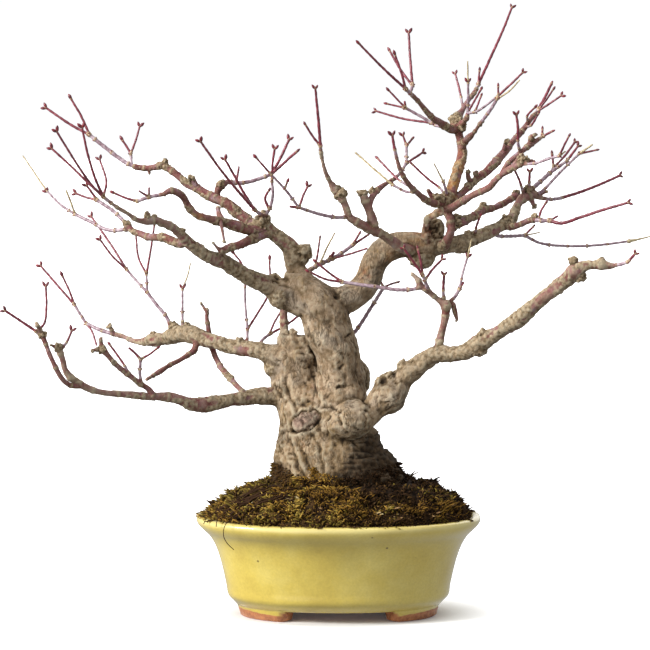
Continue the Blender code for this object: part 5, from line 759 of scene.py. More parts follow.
def bark_finish():
    """Tan bark with grey and ochre patches and fine cracks along it, with painted shade in its hollows and
    underneath, painted highlights on its ridges, and its foot dark with wet and with painted shadow under the low
    limb. Young bark is a red to lilac skin between cork plates."""
    f = Finish("maple_bark", 0.85, Specular_IOR_Level=0.22)
    cloud = f.noise(150, 4, 0.6)
    colour = f.ramp(cloud, (0.32, "6c5a43"), (0.48, "90795e"), (0.62, "ad977d"), (0.75, "c0af97"))
    grey = f.span(f.noise(75, 3, 0.5, distortion=0.6), 0.52, 0.64)
    colour = f.mix(f.times(grey, 0.45), colour, linear("8d8377"))
    ochre = f.span(f.noise(190, 3, 0.6, f.stretched(1, 1, 0.35)), 0.6, 0.7)
    colour = f.mix(f.times(ochre, 0.5), colour, linear("9a7c4c"))
    low = f.span(f.along(2), 0.075, 0.115, 0.3, 0.0)
    colour = f.mix(low, colour, linear("a3834f"))
    cork = f.ramp(f.noise(520, 4, 0.7), (0.3, "483928"), (0.45, "78664d"), (0.6, "a28d70"), (0.75, "c4b093"))
    colour = f.mix(f.value("cork"), colour, cork)
    red = f.ramp(f.noise(160, 3, 0.6), (0.3, "5c2c2f"), (0.46, "7d4546"), (0.6, "8b6063"), (0.74, "94818e"))
    torn = f.span(f.noise(700, 3, 0.7), 0.35, 0.6, 0.55, 1.0)
    colour = f.mix(f.times(f.value("youth"), torn), colour, red)
    scar = f.ramp(f.noise(420, 4, 0.65), (0.34, "4a372e"), (0.48, "846b5c"), (0.7, "a88f7d"))
    colour = f.mix(f.value("scar"), colour, scar)
    warm = f.ramp(f.noise(350, 2), (0.35, "94502f"), (0.6, "b0834a"))
    colour = f.mix(f.value("orange"), colour, warm)
    fine = f.span(f.noise(1700, 3, 0.6, f.stretched(1, 1, 0.5)), 0.32, 0.7, 0.74, 1.14)
    colour = f.shaded(colour, fine)
    strands = f.noise(330, 4, 0.65, f.stretched(1, 1, 0.34), 0.8)
    line = f.span(f.minus(strands, 0.5), -0.035, 0.0)
    line = f.times(line, f.span(strands, 0.5, 0.535, 1.0, 0.0))
    line = f.times(f.times(line, f.value("old")), f.span(f.noise(95, 3), 0.42, 0.58))
    colour = f.mix(f.times(line, 0.55), colour, linear("4c3b26"))
    # Painted shade: bark that faces down is darkened.
    colour = f.mix(f.times(f.value("underside_shade"), 0.5), colour, linear("57482f"))
    # Painted highlight: the ridges are made paler.
    colour = f.mix(f.times(f.value("ridge_highlight"), 0.45), colour, linear("c6baa0"))
    # Painted shade: the hollows are darkened, the deepest almost to black.
    hollow_shade = f.value("hollow_shade")
    colour = f.mix(f.span(hollow_shade, 0.05, 0.55, 0.0, 0.72), colour, linear("4f3f28"))
    colour = f.mix(f.span(hollow_shade, 0.5, 1.0, 0.0, 0.8), colour, linear("241a11"))
    # Dark of wet wood at the foot, and painted shadow under the low limb's ball.
    wet_and_shadow = f.ramp(f.noise(300, 4, 0.7), (0.35, "17110a"), (0.65, "4a3723"))
    colour = f.mix(f.times(f.value("damp_and_shadow"), 0.88), colour, wet_and_shadow)
    f.colour(colour)
    grain = f.noise(1000, 6, 0.75, f.stretched(1, 1, 0.55))
    f.bump(f.minus(grain, line), 0.0008, 0.9)
    return f.material


def twig_finish():
    """Smooth young bark: violet grey in its second year, dark red in its first, with pale rings and red buds."""
    f = Finish("twig_bark", 0.38)
    grey = f.ramp(f.noise(480, 3, 0.6), (0.3, "6b4d55"), (0.5, "907780"), (0.72, "b5a5aa"))
    red = f.ramp(f.noise(330, 2, 0.5), (0.3, "551a26"), (0.55, "7b2f3b"), (0.8, "965059"))
    colour = f.mix(f.value("red"), grey, red)
    colour = f.mix(f.value("ring"), colour, f.ramp(f.noise(900, 2), (0.35, "7a6248"), (0.6, "b39a74")))
    bud = f.ramp(f.noise(600, 2), (0.3, "3c1218"), (0.5, "68202a"), (0.75, "94343c"))
    colour = f.mix(f.value("bud"), colour, bud)
    colour = f.mix(f.value("dead"), colour, f.ramp(f.noise(600, 3), (0.3, "8a7350"), (0.7, "c4b58c")))
    f.colour(colour)
    f.bump(f.noise(1600, 3, 0.6), 0.00015, 0.5)
    return f.material


def moss_finish(name, *stops):
    """Moss whose shoots each have a tone of their own, from their root to their tip."""
    f = Finish(name, 0.9, Specular_IOR_Level=0.12)
    tone = f.value("tone")
    f.colour(f.mix(f.value("tip"), f.ramp(tone, *[(place, low) for place, low, _ in stops]),
                   f.ramp(tone, *[(place, high) for place, _, high in stops])))
    return f.material


def ground_finish(name, dark, light, scale):
    f = Finish(name, 0.95)
    f.colour(f.ramp(f.noise(scale, 5, 0.7), (0.35, dark), (0.65, light)))
    f.bump(f.noise(scale * 2.2, 4, 0.7), 0.0012)
    return f.material


def glaze_finish():
    """A yellow glaze that pools darker in hollows, thins to cream on the lip, has specks, and stops short of the
    feet, where the clay is bare. Its lower edge is a height that wavers and drops a little to the left and right."""
    f = Finish("yellow_glaze", 0.26, Coat_Weight=0.5, Coat_Roughness=0.16)
    cloud = f.noise(28, 4, 0.6)
    colour = f.ramp(cloud, (0.3, "b39c42"), (0.5, "c3ad4e"), (0.72, "cebc66"))
    fine = f.span(f.noise(900, 2, 0.5), 0.3, 0.7, 0.93, 1.05)
    colour = f.shaded(colour, fine)
    colour = f.mix(f.times(f.value("lip"), 0.5), colour, linear("d8cd93"))
    colour = f.mix(f.times(f.value("pool"), 0.22), colour, linear("9a8a34"))
    cells = f.add("TexVoronoi", {"Vector": f.place, "Scale": 105.0, "Randomness": 1.0}).outputs["Distance"]
    speck = f.times(f.span(cells, 0.045, 0.08, 1.0, 0.0), f.span(f.noise(26, 1), 0.54, 0.6))
    colour = f.mix(f.times(speck, 0.8), colour, linear("4a3c1e"))
    from_smudge = f.add("VectorMath", {0: f.place, 1: (0.004, -0.052, 0.031)}, operation="DISTANCE").outputs[1]
    smudge = f.times(f.span(from_smudge, 0.002, 0.012, 1.0, 0.0), f.noise(330, 4, 0.7))
    colour = f.mix(f.times(smudge, 0.45), colour, linear("6f6632"))
    edge = f.minus(f.along(2), f.times(f.noise(140, 2), 0.0014))
    side = f.add("Math", {0: f.along(0)}, operation="ABSOLUTE").outputs[0]
    edge = f.minus(edge, f.span(side, 0.028, 0.05, 0.0, 0.0016))
    clay = f.span(edge, 0.0021, 0.0027, 1.0, 0.0)
    clay = f.add("Math", {0: clay, 1: f.value("bare")}, operation="MAXIMUM").outputs[0]
    colour = f.mix(clay, colour, f.ramp(f.noise(420, 4, 0.65), (0.3, "7c4526"), (0.6, "ad6f42")))
    f.colour(colour)
    f.rough(f.span(clay, 0.0, 1.0, 0.26, 0.9))
    f.bump(f.noise(120, 3, 0.5), 0.0004, 0.35)
    return f.material


BARK = bark_finish()
TWIG = twig_finish()
GLAZE = glaze_finish()


# the wood


def elliptic_column(rows, sides=56):
    """A stack of level ellipses through (across, up, depth, width, thickness), smooth from row to row."""
    points, _ = in_space(rows)
    sizes = np.asarray(rows, float)[:, 3:] / 2
    path = smooth_route(np.hstack([points, sizes]), 1.5)
    angles = all_round(sides)
    offsets = np.stack([path[:, 3:4] * np.cos(angles), path[:, 4:5] * np.sin(angles),
                        np.zeros((len(path), sides))], axis=-1)
    rings = path[:, None, :3] + offsets
    skeleton = np.hstack([path[:, :3], path[:, 3:].mean(axis=1)[:, None]])
    return closed_rings(rings, path[0, :3], path[-1, :3]), skeleton


def ball(centre, size, rows=9, sides=16):
    """An ellipsoid: centre + size / 2 * (cos v cos u, cos v sin u, sin v)."""
    u = all_round(sides)
    v = np.radians(np.linspace(-78, 78, rows))[:, None]
    shape = np.stack([np.cos(v) * np.cos(u), np.cos(v) * np.sin(u), np.sin(v) + 0 * u], axis=-1)
    half = np.asarray(size, float) / 2
    rings = centre + shape * half
    return closed_rings(rings, centre - (0, 0, half[2]), centre + (0, 0, half[2]))


def mesh_arrays(obj):
    """The points, quads and edges of a finished mesh, with the points in millimetres."""
    mesh = obj.data
    edges = np.empty(len(mesh.edges) * 2, int)
    mesh.edges.foreach_get("vertices", edges)
    corners = np.empty(len(mesh.loops), int)
    mesh.loops.foreach_get("vertex_index", corners)
    return points_of(mesh), corners.reshape(-1, 4), edges.reshape(-1, 2)


def remeshed(parts, voxel):
    """Closed shapes that cross each other, as one even skin of quads that stand voxel millimetres apart."""
    rough = mesh_object("rough", *joined(parts))
    modifier = rough.modifiers.new("skin", "REMESH")
    modifier.mode = "VOXEL"
    modifier.voxel_size = voxel * MM
    modifier.adaptivity = 0
    take_on(rough)
    arrays = mesh_arrays(rough)
    bpy.data.objects.remove(rough, do_unlink=True)
    return arrays


def means(points, edges):
    """The mean of each point's neighbours."""
    count = np.bincount(edges.ravel(), minlength=len(points))[:, None]
    one, other = edges[:, 0], edges[:, 1]
    total = np.stack([np.bincount(one, points[other, axis], len(points))
                      + np.bincount(other, points[one, axis], len(points)) for axis in range(3)], axis=1)
    return total / np.maximum(count, 1)


def faired(points, edges, rounds):
    """Each round moves points half way to their neighbours' mean and then a little more than that back out."""
    for _ in range(rounds):
        points = points + 0.5 * (means(points, edges) - points)
        points = points - 0.52 * (means(points, edges) - points)
    return points


def normals_of(points, quads):
    """Each point's normal: the sum of the cross products of its quads' diagonals, at length 1."""
    a, b, c, d = (points[quads[:, corner]] for corner in range(4))
    cross = np.cross(c - a, d - b)
    total = np.stack([sum(np.bincount(quads[:, corner], cross[:, axis], len(points)) for corner in range(4))
                      for axis in range(3)], axis=1)
    return total / np.maximum(np.linalg.norm(total, axis=1), 1e-9)[:, None]


def nearest_limb(points, skeleton):
    """For each point, the row of the skeleton whose tube skin is nearest: least distance - radius."""
    found = np.empty(len(points), int)
    core = skeleton[:, PLACE].astype(np.float32)
    for start in range(0, len(points), 4000):
        some = points[start:start + 4000].astype(np.float32)
        distance = np.sqrt(((some[:, None] - core[None]) ** 2).sum(axis=2))
        found[start:start + 4000] = np.argmin(distance - skeleton[:, RADIUS].astype(np.float32), axis=1)
    return found


# The columns of a skeleton's rows, and the number that marks the lumps of a knob.
PLACE, RADIUS = slice(0, 3), 3
ALONG, FIRST, OTHER = slice(4, 7), slice(7, 10), slice(10, 13)
LENGTH, LIMB = 13, 14
KNOB_LIMB = 900


def skeleton_rows(path, number):
    """A path as rows of place, radius, the three frame vectors, length so far and the limb's number."""
    along, first, other = frames(path[:, :3])
    length = np.concatenate([[0], np.cumsum(np.linalg.norm(np.diff(path[:, :3], axis=0), axis=1))])
    return np.hstack([path, along, first, other, length[:, None], np.full((len(path), 1), number)])


def from_line(across, up, line):
    """The distance from each (across, up) to a line drawn through the given points."""
    line = np.asarray(line, float)
    at = np.stack([across, up], axis=1)
    best = np.full(len(at), 1e9)
    for start, end in zip(line[:-1], line[1:]):
        way = end - start
        t = np.clip(((at - start) @ way) / (way @ way), 0, 1)
        best = np.minimum(best, np.linalg.norm(at - start - t[:, None] * way, axis=1))
    return best


def bell(distance, width):
    """1 at distance 0, falling off as e^-(distance / width)^2."""
    return np.exp(-(distance / width) ** 2)


# Creases and ridges that show from the front: width, depth of the crease (a ridge is below 0), then its line.
TRUNK_LINES = (
    (0.8, 1.5, ((-23.6, 91.4), (-20, 91.6), (-15.6, 93), (-11.6, 96), (-9.8, 99.4), (-11, 101))),
    (0.6, 0.9, ((-23.4, 92.2), (-24, 95.6), (-22, 98.8), (-19.4, 100.6))),
    (0.7, 1.2, ((-18, 104.8), (-15.8, 107))),
    (0.7, 1.0, ((-10.4, 102.6), (-6, 104.4))),
    (0.8, 1.4, ((-1.4, 113.2), (3, 114.4))),
    (0.7, 1.1, ((3.6, 139), (6.6, 140.6))),
    (0.6, 0.8, ((1, 123.4), (2.4, 125))),
    (0.6, 0.8, ((-30.6, 114.6), (-28.4, 113.2), (-27.8, 111))),
    (0.9, -0.7, ((-40, 127), (-35.6, 121), (-31, 112), (-27, 104))),
    (1.1, 1.1, ((0.6, 101.6), (-4, 103.4), (-8.6, 104.8), (-14.6, 106.6), (-19.4, 103))),
    (1.6, -1.0, ((-21.4, 152), (-19.4, 143), (-16, 133), (-11.6, 125), (-9.6, 117), (-8.6, 109), (-6, 103))),
    (1.0, 0.6, ((-24, 150), (-21.4, 139), (-17.4, 130), (-13.2, 123), (-11.6, 115), (-11, 107))),
    (0.6, 0.6, ((-20.6, 131), (-16.8, 130.4), (-13.6, 131))),
    (0.6, 0.6, ((-20, 127.6), (-16, 126.8), (-12.4, 127.8))),
    (0.6, 0.6, ((-19.6, 124.4), (-15.6, 123.4), (-11.8, 124.4))),
    (0.6, 0.5, ((-20.6, 134.2), (-17.6, 133.8), (-15, 134.4))),
    (1.2, -0.8, ((-29, 118), (-27.6, 110), (-24.4, 104), (-21, 99))),
    (0.9, 0.8, ((-26.4, 118), (-25, 110), (-22, 104.4), (-18.6, 101))),
    (1.1, 1.2, ((-30, 88.6), (-26, 91), (-22.6, 91.2))),
    (1.3, -1.3, ((-23, 90), (-21.6, 84), (-18.6, 76), (-17, 73))),
    (1.2, -1.1, ((-27.6, 84), (-25, 78), (-21.6, 71))),
    (1.0, 1.1, ((-25.6, 89), (-23.6, 82), (-20.4, 74), (-18, 69))),
    (1.0, 1.0, ((-20.6, 89), (-18.6, 82), (-14.6, 74), (-12, 69))),
    (0.9, 0.8, ((-13, 90), (-9.6, 83), (-8, 75), (-7, 68))),
    (0.8, 0.9, ((0.4, 98.4), (1.6, 93), (5, 90), (9.6, 88.6))),
    (0.55, 0.7, ((4, 95.6), (6.6, 93.6), (9.8, 92.6))),
    (0.55, 0.7, ((12.8, 100.6), (13.8, 97), (13.4, 93.6))),
    (0.5, 0.5, ((10.6, 103), (14.6, 101.8), (17.6, 98.4), (17.2, 94.6), (14.4, 91.6))),
    (0.6, 0.8, ((-5, 100), (-6.6, 95), (-5.6, 90))),
    (0.9, 1.3, ((6.4, 88.2), (9, 84.6), (13, 82), (19, 81.6), (26, 79.6))),
    (0.8, 1.0, ((10, 79), (16, 77.6), (23, 77), (30, 74))),
    (0.7, 0.9, ((24, 89.6), (28, 84), (31.4, 78))),
    (0.7, 0.9, ((14, 74), (22, 72.4), (31, 70.6))),
    (1.0, 1.1, ((12.6, 128), (14, 121), (14.4, 114), (12, 107))),
    (0.9, 0.9, ((8.4, 131), (9.6, 124), (10.4, 116), (9, 109))),
    (0.8, 0.8, ((-30, 170.6), (-31.4, 168), (-29, 165), (-25.6, 164.4))),
)

# Places where the bark is orange or rusty: across, up, reach and strength.
WARM_SPOTS = (
    (57, 212, 3.5, 1.0), (58.4, 218, 3.5, 1.0), (60, 224, 3.5, 0.9), (61.5, 231, 3, 0.5), (25, 178.5, 3, 0.9),
    (12.6, 170.6, 3.5, 0.7), (41, 189, 5, 0.8), (47, 200, 3.5, 0.8), (-30, 197, 3, 0.4), (-69, 199, 5, 0.6),
    (-50, 190, 4, 0.5), (-20, 84, 4, 0.4), (-12, 112, 5, 0.3),
)

# Round pits that show from the front: across, up, radius and depth.
TRUNK_PITS = (
    (-0.6, 160.4, 2.0, 2.2), (-31, 168, 2.6, 1.8), (48.4, 193.4, 3.0, 1.9), (13.6, 102, 0.8, 1.1),
    (1.6, 95.2, 0.8, 0.9), (-15.4, 139, 1.2, 1.0), (28, 120.6, 1.4, 1.0), (22, 117.6, 1.8, 1.5),
    (28.6, 116.4, 1.2, 1.0), (36.6, 126.6, 1.8, 1.3), (-23.4, 92, 1.1, 1.6),
)


def hollows(points, edges, normals, rounds):
    """How far each point lies below its surroundings: ((mean after some rounds) - point) along the normal."""
    calm = points
    for _ in range(rounds):
        calm = means(calm, edges)
    return ((calm - points) * normals).sum(axis=1)


def crowd(centre, half, count, share, random):
    """Small balls that crowd on an ellipsoid: centre + half * (a random direction) * about 1."""
    ways = unit_rows(random.normal(0, 1, (count, 3)))
    radii = np.clip(np.mean(half) * share * random.uniform(0.6, 1.4, count), 0.45, 1.7)
    return [(centre + way * half * random.uniform(0.8, 1.15), radius) for way, radius in zip(ways, radii)]


def cracks(values, width):
    """1 on the lines where the noise crosses zero, falling to 0 at this distance from it."""
    return 1 - step_up(np.abs(values), 0, width)


def old_bark(local, points, seed, calm):
    """Broad bulges, rounded lumps and short cracks along the limb, which fade out by calm. The noise is stretched
    along the limb, and its cells are bent by a slower noise."""
    stretched = local / (2.3, 2.3, 8) + seed
    stretched[:, :2] += 0.7 * noise_rows(points / 7, 11, 12)
    coarse = noise(stretched, 3)
    fine = noise(stretched * (2.1, 2.1, 2.6) + 5, 7)
    grain = 0.16 * noise(points / (1.5, 1.5, 1.2) + 3, 21) + 0.12 * noise(points / (0.9, 0.9, 1.1), 23)
    bulges = 0.75 * noise(points / 10, 30) + 0.5 * noise(points / 4.6, 31)
    lumps = 0.34 * noise(local / (2.2, 2.2, 4.2) + seed, 32)
    broken = np.clip(0.5 + 0.9 * noise(points / 4.2, 33), 0, 1) * (1 - calm)
    cut = 0.42 * cracks(coarse, 0.25) * broken
    cut += (1 - 0.85 * calm) * 0.2 * cracks(fine, 0.3) * np.clip(broken + 0.25, 0, 1)
    return bulges * (1 - 0.6 * calm) + (lumps + 0.2 * np.abs(coarse)) * (1 - 0.6 * calm) + grain - cut


def young_bark(local, points, radius, seed):
    """Cork plates on smooth skin: 1 where the noise, raised with the limb's radius, is above 0. Gives the height
    and the plates."""
    spread = noise(local / (2.6, 2.6, 6.5) + seed + 9, 13) + 0.45 * noise(points / 1.3, 14)
    plates = step_up(spread + 0.42 * (radius - 2.7), -0.14, 0.12)
    rough = 0.30 * noise(points / 1.15, 15) + 0.16 * noise(points / 0.75, 16)
    wrinkles = noise(local / (5, 5, 1.2) + seed, 17)
    swell = 0.35 * noise(local / (3.5, 3.5, 4.2) + seed, 18) * np.clip(radius / 2.5, 0.4, 1.2)
    return plates * (0.26 + rough + 0.14 * wrinkles) + swell, plates


def drawn_on(across, up, points, facing):
    """Creases, ridges and pits that show from the front, with their lines made to waver by noise."""
    waver = noise_rows(points / 3.4, 43, 44) + 0.4 * noise_rows(points / 1.2, 45, 46)
    across, up = across + 0.8 * waver[:, 0], up + 0.8 * waver[:, 1]
    height = np.zeros(len(points))
    uneven = np.clip(0.75 + 0.6 * noise(points / 2.8, 41), 0.1, 1.2)
    for width, depth, line in TRUNK_LINES:
        height -= depth * uneven * bell(from_line(across, up, line), width) * facing
    for spot_across, spot_up, wide, depth in TRUNK_PITS:
        height -= depth * bell(np.hypot(across - spot_across, up - spot_up), wide) * facing
    return height


# How high the wood is dark with wet and moss, from left to right: across, and the height at each.
FOOT_DARK = ((-34, -26, -22, -10, -5, 7, 12, 30), (78, 77, 68, 67, 71, 73, 81, 81))

# The hollow knot on the right arm, and the pruning scar: where they are, and the scar's turn and half sizes.
HOLLOW_KNOT = (48.6, 193.6)
SCAR_AT, SCAR_TURN, SCAR_HALF = (-16.7, 96.6), math.radians(35), (7.2, 4.6)


def scar_shape(across, up):
    """Distance from the pruning scar's middle, 1 on the rim of its turned ellipse."""
    x, y = across - SCAR_AT[0], up - SCAR_AT[1]
    cos, sin = math.cos(SCAR_TURN), math.sin(SCAR_TURN)
    return np.hypot((x * cos + y * sin) / SCAR_HALF[0], (y * cos - x * sin) / SCAR_HALF[1])


def wood(name, voxel, limbs, columns, knobs, spurs, collars, rounds):
    """One body of wood: its limbs, columns and knobs as crossing tubes and ellipsoids, remeshed and faired, then
    each point moved along its normal by old_bark, or by young_bark where the limb is thin, and by drawn_on."""
    parts, skeleton = [], []
    random = np.random.default_rng(len(limbs))
    for number, rows in enumerate(columns):
        shape, core = elliptic_column(rows)
        parts.append(shape)
        skeleton.append(skeleton_rows(core, number))
    for number, rows in enumerate([*limbs, *spurs, *collars], len(columns)):
        points, factor = in_space(rows)
        radii = np.asarray(rows, float)[:, 3] * factor / 2
        path = smooth_route(np.hstack([points, radii[:, None]]), 1.1)
        parts.append(swept(path[:, :3], path[:, 3], 16))
        skeleton.append(skeleton_rows(path, number))
    lumps = []
    for across, up, depth, *size in knobs:
        centre = in_space([(across, up, depth)])[0][0]
        half = np.asarray(size, float) / 2
        parts.append(ball(centre, size))
        lumps += [(centre, min(half))]
        if max(size) < 10:
            lumps += crowd(centre, half, 13, 0.32, random)
    for rows in spurs:
        tip, factor = in_space(rows[-1:])
        half = rows[-1][3] * factor[0] / 2
        lumps += crowd(tip[0], np.full(3, half), 6, 0.75, random)
    for centre, radius in lumps:
        parts.append(ball(centre, np.full(3, 2 * radius), 5, 8))
    cores = np.array([[*centre, radius, 0, 0, 1, 1, 0, 0, 0, 1, 0, 0, KNOB_LIMB] for centre, radius in lumps])
    points, quads, edges = remeshed(parts, voxel)
    points = faired(points, edges, rounds)
    skeleton = np.vstack([*skeleton, cores])
    row = skeleton[nearest_limb(points, skeleton)]
    radius = row[:, RADIUS]
    limb = row[:, LIMB]
    offset = points - row[:, PLACE]
    local = np.stack([(offset * row[:, FIRST]).sum(1), (offset * row[:, OTHER]).sum(1),
                      row[:, LENGTH] + (offset * row[:, ALONG]).sum(1)], axis=1)
    seed = limb[:, None] * 3.7
    across, up = as_seen(points)
    normals = normals_of(points, quads)
    facing = step_up(normals @ np.array([0.0, -1.0, 0.12]), 0.1, 0.5)

    knob = limb == KNOB_LIMB
    old = step_up(radius, 3.6, 7.5) * ~knob
    spacing = 8.0 + 7.0 * np.modf(np.abs(np.sin(limb * 12.9898)) * 43.7)[0]
    phase = (local[:, 2] / spacing + limb * 0.37) % 1 - 0.5
    rings = bell(phase * spacing, 0.8) * (1 - step_up(radius, 2.4, 4.6)) * ~knob
    skin, plates = young_bark(local, points, radius, seed)
    plates = np.maximum(np.maximum(plates, knob), rings)
    knobby = knob * (0.5 * noise(points / 1.25, 19) + 0.25 * noise(points / 0.8, 20))
    calm = 0.5 * step_up(up, 134, 146) + 0.4 * step_up(up, 152, 162)
    calm += 0.85 * bell(np.hypot((across + 21) / 10, (up - 124) / 14), 1.0)
    calm = np.maximum(calm, bell(np.hypot(across - 8, up - 98), 13) * facing)
    hollow = np.hypot(across - HOLLOW_KNOT[0], (up - HOLLOW_KNOT[1]) * 0.85)
    calm *= 1 - bell(hollow, 10)
    bark = old * old_bark(local, points, seed, calm) + (1 - old) * ((1 - knob) * skin + knobby) + 0.3 * rings
    scar, damp_and_shadow, orange = (np.zeros(len(points)) for _ in range(3))
    if columns:
        oval = scar_shape(across, up) + 0.2 * noise(points / 3, 26)
        scar = step_up(-oval, -1.05, -0.85) * facing
        bark *= 1 - 0.5 * scar
        bark += drawn_on(across, up, points, facing)
        rough = np.clip(0.7 + 0.8 * noise(points / 2.6, 24), 0, 1.4)
        bark += (0.4 * bell(oval - 1.25, 0.2) - 1.1 * bell(oval - 1.02, 0.07)) * rough * facing
        bark += (0.6 + 0.9 * noise(points / 1.5, 22)) * bell(hollow - 5.4, 2.2) * facing
        bark -= 1.1 * cracks(noise(points / (2.6, 2.6, 1.5), 25), 0.4) * bell(hollow, 6) * facing
        # The side under the low limb's ball: made rougher, and painted dark as the ball's shadow.
        edge = up + 3.2 * noise(points / 5, 62) + 1.5 * noise(points / 1.8, 63)
        ball_shadow_side = step_up(across + 0.9 * (92 - edge), 8, 22) * (1 - step_up(edge, 86, 99))
        ball_shadow_side *= limb < len(columns)
        level = cracks(noise(points / (8, 8, 2.4) + 9, 71), 0.35)
        bark += ball_shadow_side * (0.7 * noise(points / 2.4, 64) + 0.4 * noise(points / 1.3, 65) - 0.9 * level)
        # Dark at the foot from wet and moss, and painted shadow under the ball.
        dark_below = np.interp(across, *FOOT_DARK) + 3 * noise(points / 4, 61)
        foot = 1 - step_up(points[:, 2] - dark_below, -3, 2) + 1.05 * ball_shadow_side
        damp_and_shadow = np.clip(foot, 0, 1) * step_up(-up, -100, -90)
    for spot_across, spot_up, wide, strength in WARM_SPOTS:
        orange += strength * bell(np.hypot(across - spot_across, up - spot_up), wide)
    orange *= np.clip(0.5 + noise(points / 2.2, 51), 0, 1)
    points = points + normals * bark[:, None]
    normals = normals_of(points, quads)
    sunk = hollows(points, edges, normals, 5) + 0.3 * voxel / np.clip(radius, 1.2, 20)
    youth = (1 - plates) * (1 - old)
    # The bark's attributes carry painted shade in its hollows and on its undersides, and a painted highlight on its
    # ridges.
    made = mesh_object(name, points, quads, attributes={
        "hollow_shade": np.clip(sunk / 0.42, 0, 1), "ridge_highlight": np.clip(-sunk / 0.3, 0, 1), "youth": youth,
        "cork": (1 - old) * plates, "old": old, "underside_shade": np.clip(-1.2 * normals[:, 2], 0, 1), "scar": scar,
        "orange": np.clip(orange, 0, 1), "damp_and_shadow": damp_and_shadow})
    dressed(made, BARK, "bark", "trunk")


def collar_rows():
    """The short stubs from which the sprays grow: (across, up, depth, diameter) of both ends of each."""
    made = {}
    for name, (reach, routes) in SPRAYS.items():
        start, _, _, rows = routes[0]
        first, second = np.array(rows[0][:3]), np.array(rows[1][:3])
        way = (second - first) / np.linalg.norm(second - first)
        made[name] = [(*(first - way * 0.4), start * 1.12), (*(first + way * reach), start * 1.06)]
    return made


def side_of(rows):
    """Which body of wood a row of points belongs to, by where it starts."""
    across, up = rows[0][:2]
    if up > 186 and across < -34 or across < -40:
        return "left"
    return "right" if across > -30 and (up > 199 or across > 50 and up > 150) else "trunk"


MAIN_LIMBS = ("fork_neck", "right_arm", "low_right", "low_fork", "callus", "middle_left", "low_left", "rear_shoot")


def make_wood():
    stubs = collar_rows()
    groups = {"trunk": [], "left": [], "right": []}
    spurs = {key: [] for key in groups}
    collars = {key: [] for key in groups}
    for key, rows in LIMBS.items():
        groups["trunk" if key in MAIN_LIMBS else side_of(rows)].append(rows)
    for rows in SPURS:
        spurs[side_of(rows)].append(rows)
    for rows in stubs.values():
        collars[side_of(rows)].append(rows)
    knobs = {key: [knob for knob in KNOBS if side_of([knob]) == key] for key in groups}
    for key, voxel, rounds in (("trunk", 0.75, 2), ("left", 0.42, 2), ("right", 0.42, 2)):
        columns = list(COLUMNS.values()) if key == "trunk" else []
        wood(f"wood_{key}", voxel, groups[key], columns, knobs[key], spurs[key], collars[key], rounds)


# twigs and buds


def scales_of_bud(tip, way, first, length, radius, sides=8):
    """A pointed bud: rings at tip + way * length * t, whose widths are a short list, widest half way up."""
    t = np.array([0.0, 0.12, 0.3, 0.5, 0.68, 0.84, 0.94])
    wide = radius * np.array([0.7, 0.84, 0.98, 1.0, 0.8, 0.5, 0.24])
    other = np.cross(way, first)
    angles = all_round(sides)
    spokes = np.cos(angles)[:, None] * first + np.sin(angles)[:, None] * other
    rings = tip + (t * length)[:, None, None] * way + wide[:, None, None] * spokes
    return closed_rings(rings, tip - way * 0.2, tip + way * length)


def unit(vector):
    return vector / np.linalg.norm(vector)


def unit_rows(rows):
    return rows / np.linalg.norm(rows, axis=1)[:, None]


def junctions(path, starts):
    """How far along a path the given starting points of other twigs lie, for those that lie on it."""
    length = np.concatenate([[0], np.cumsum(np.linalg.norm(np.diff(path, axis=0), axis=1))])
    found = []
    for start in starts:
        distance = np.linalg.norm(path - start, axis=1)
        if distance.min() < 2.0:
            found.append(length[distance.argmin()])
    return np.array(sorted(found)), length


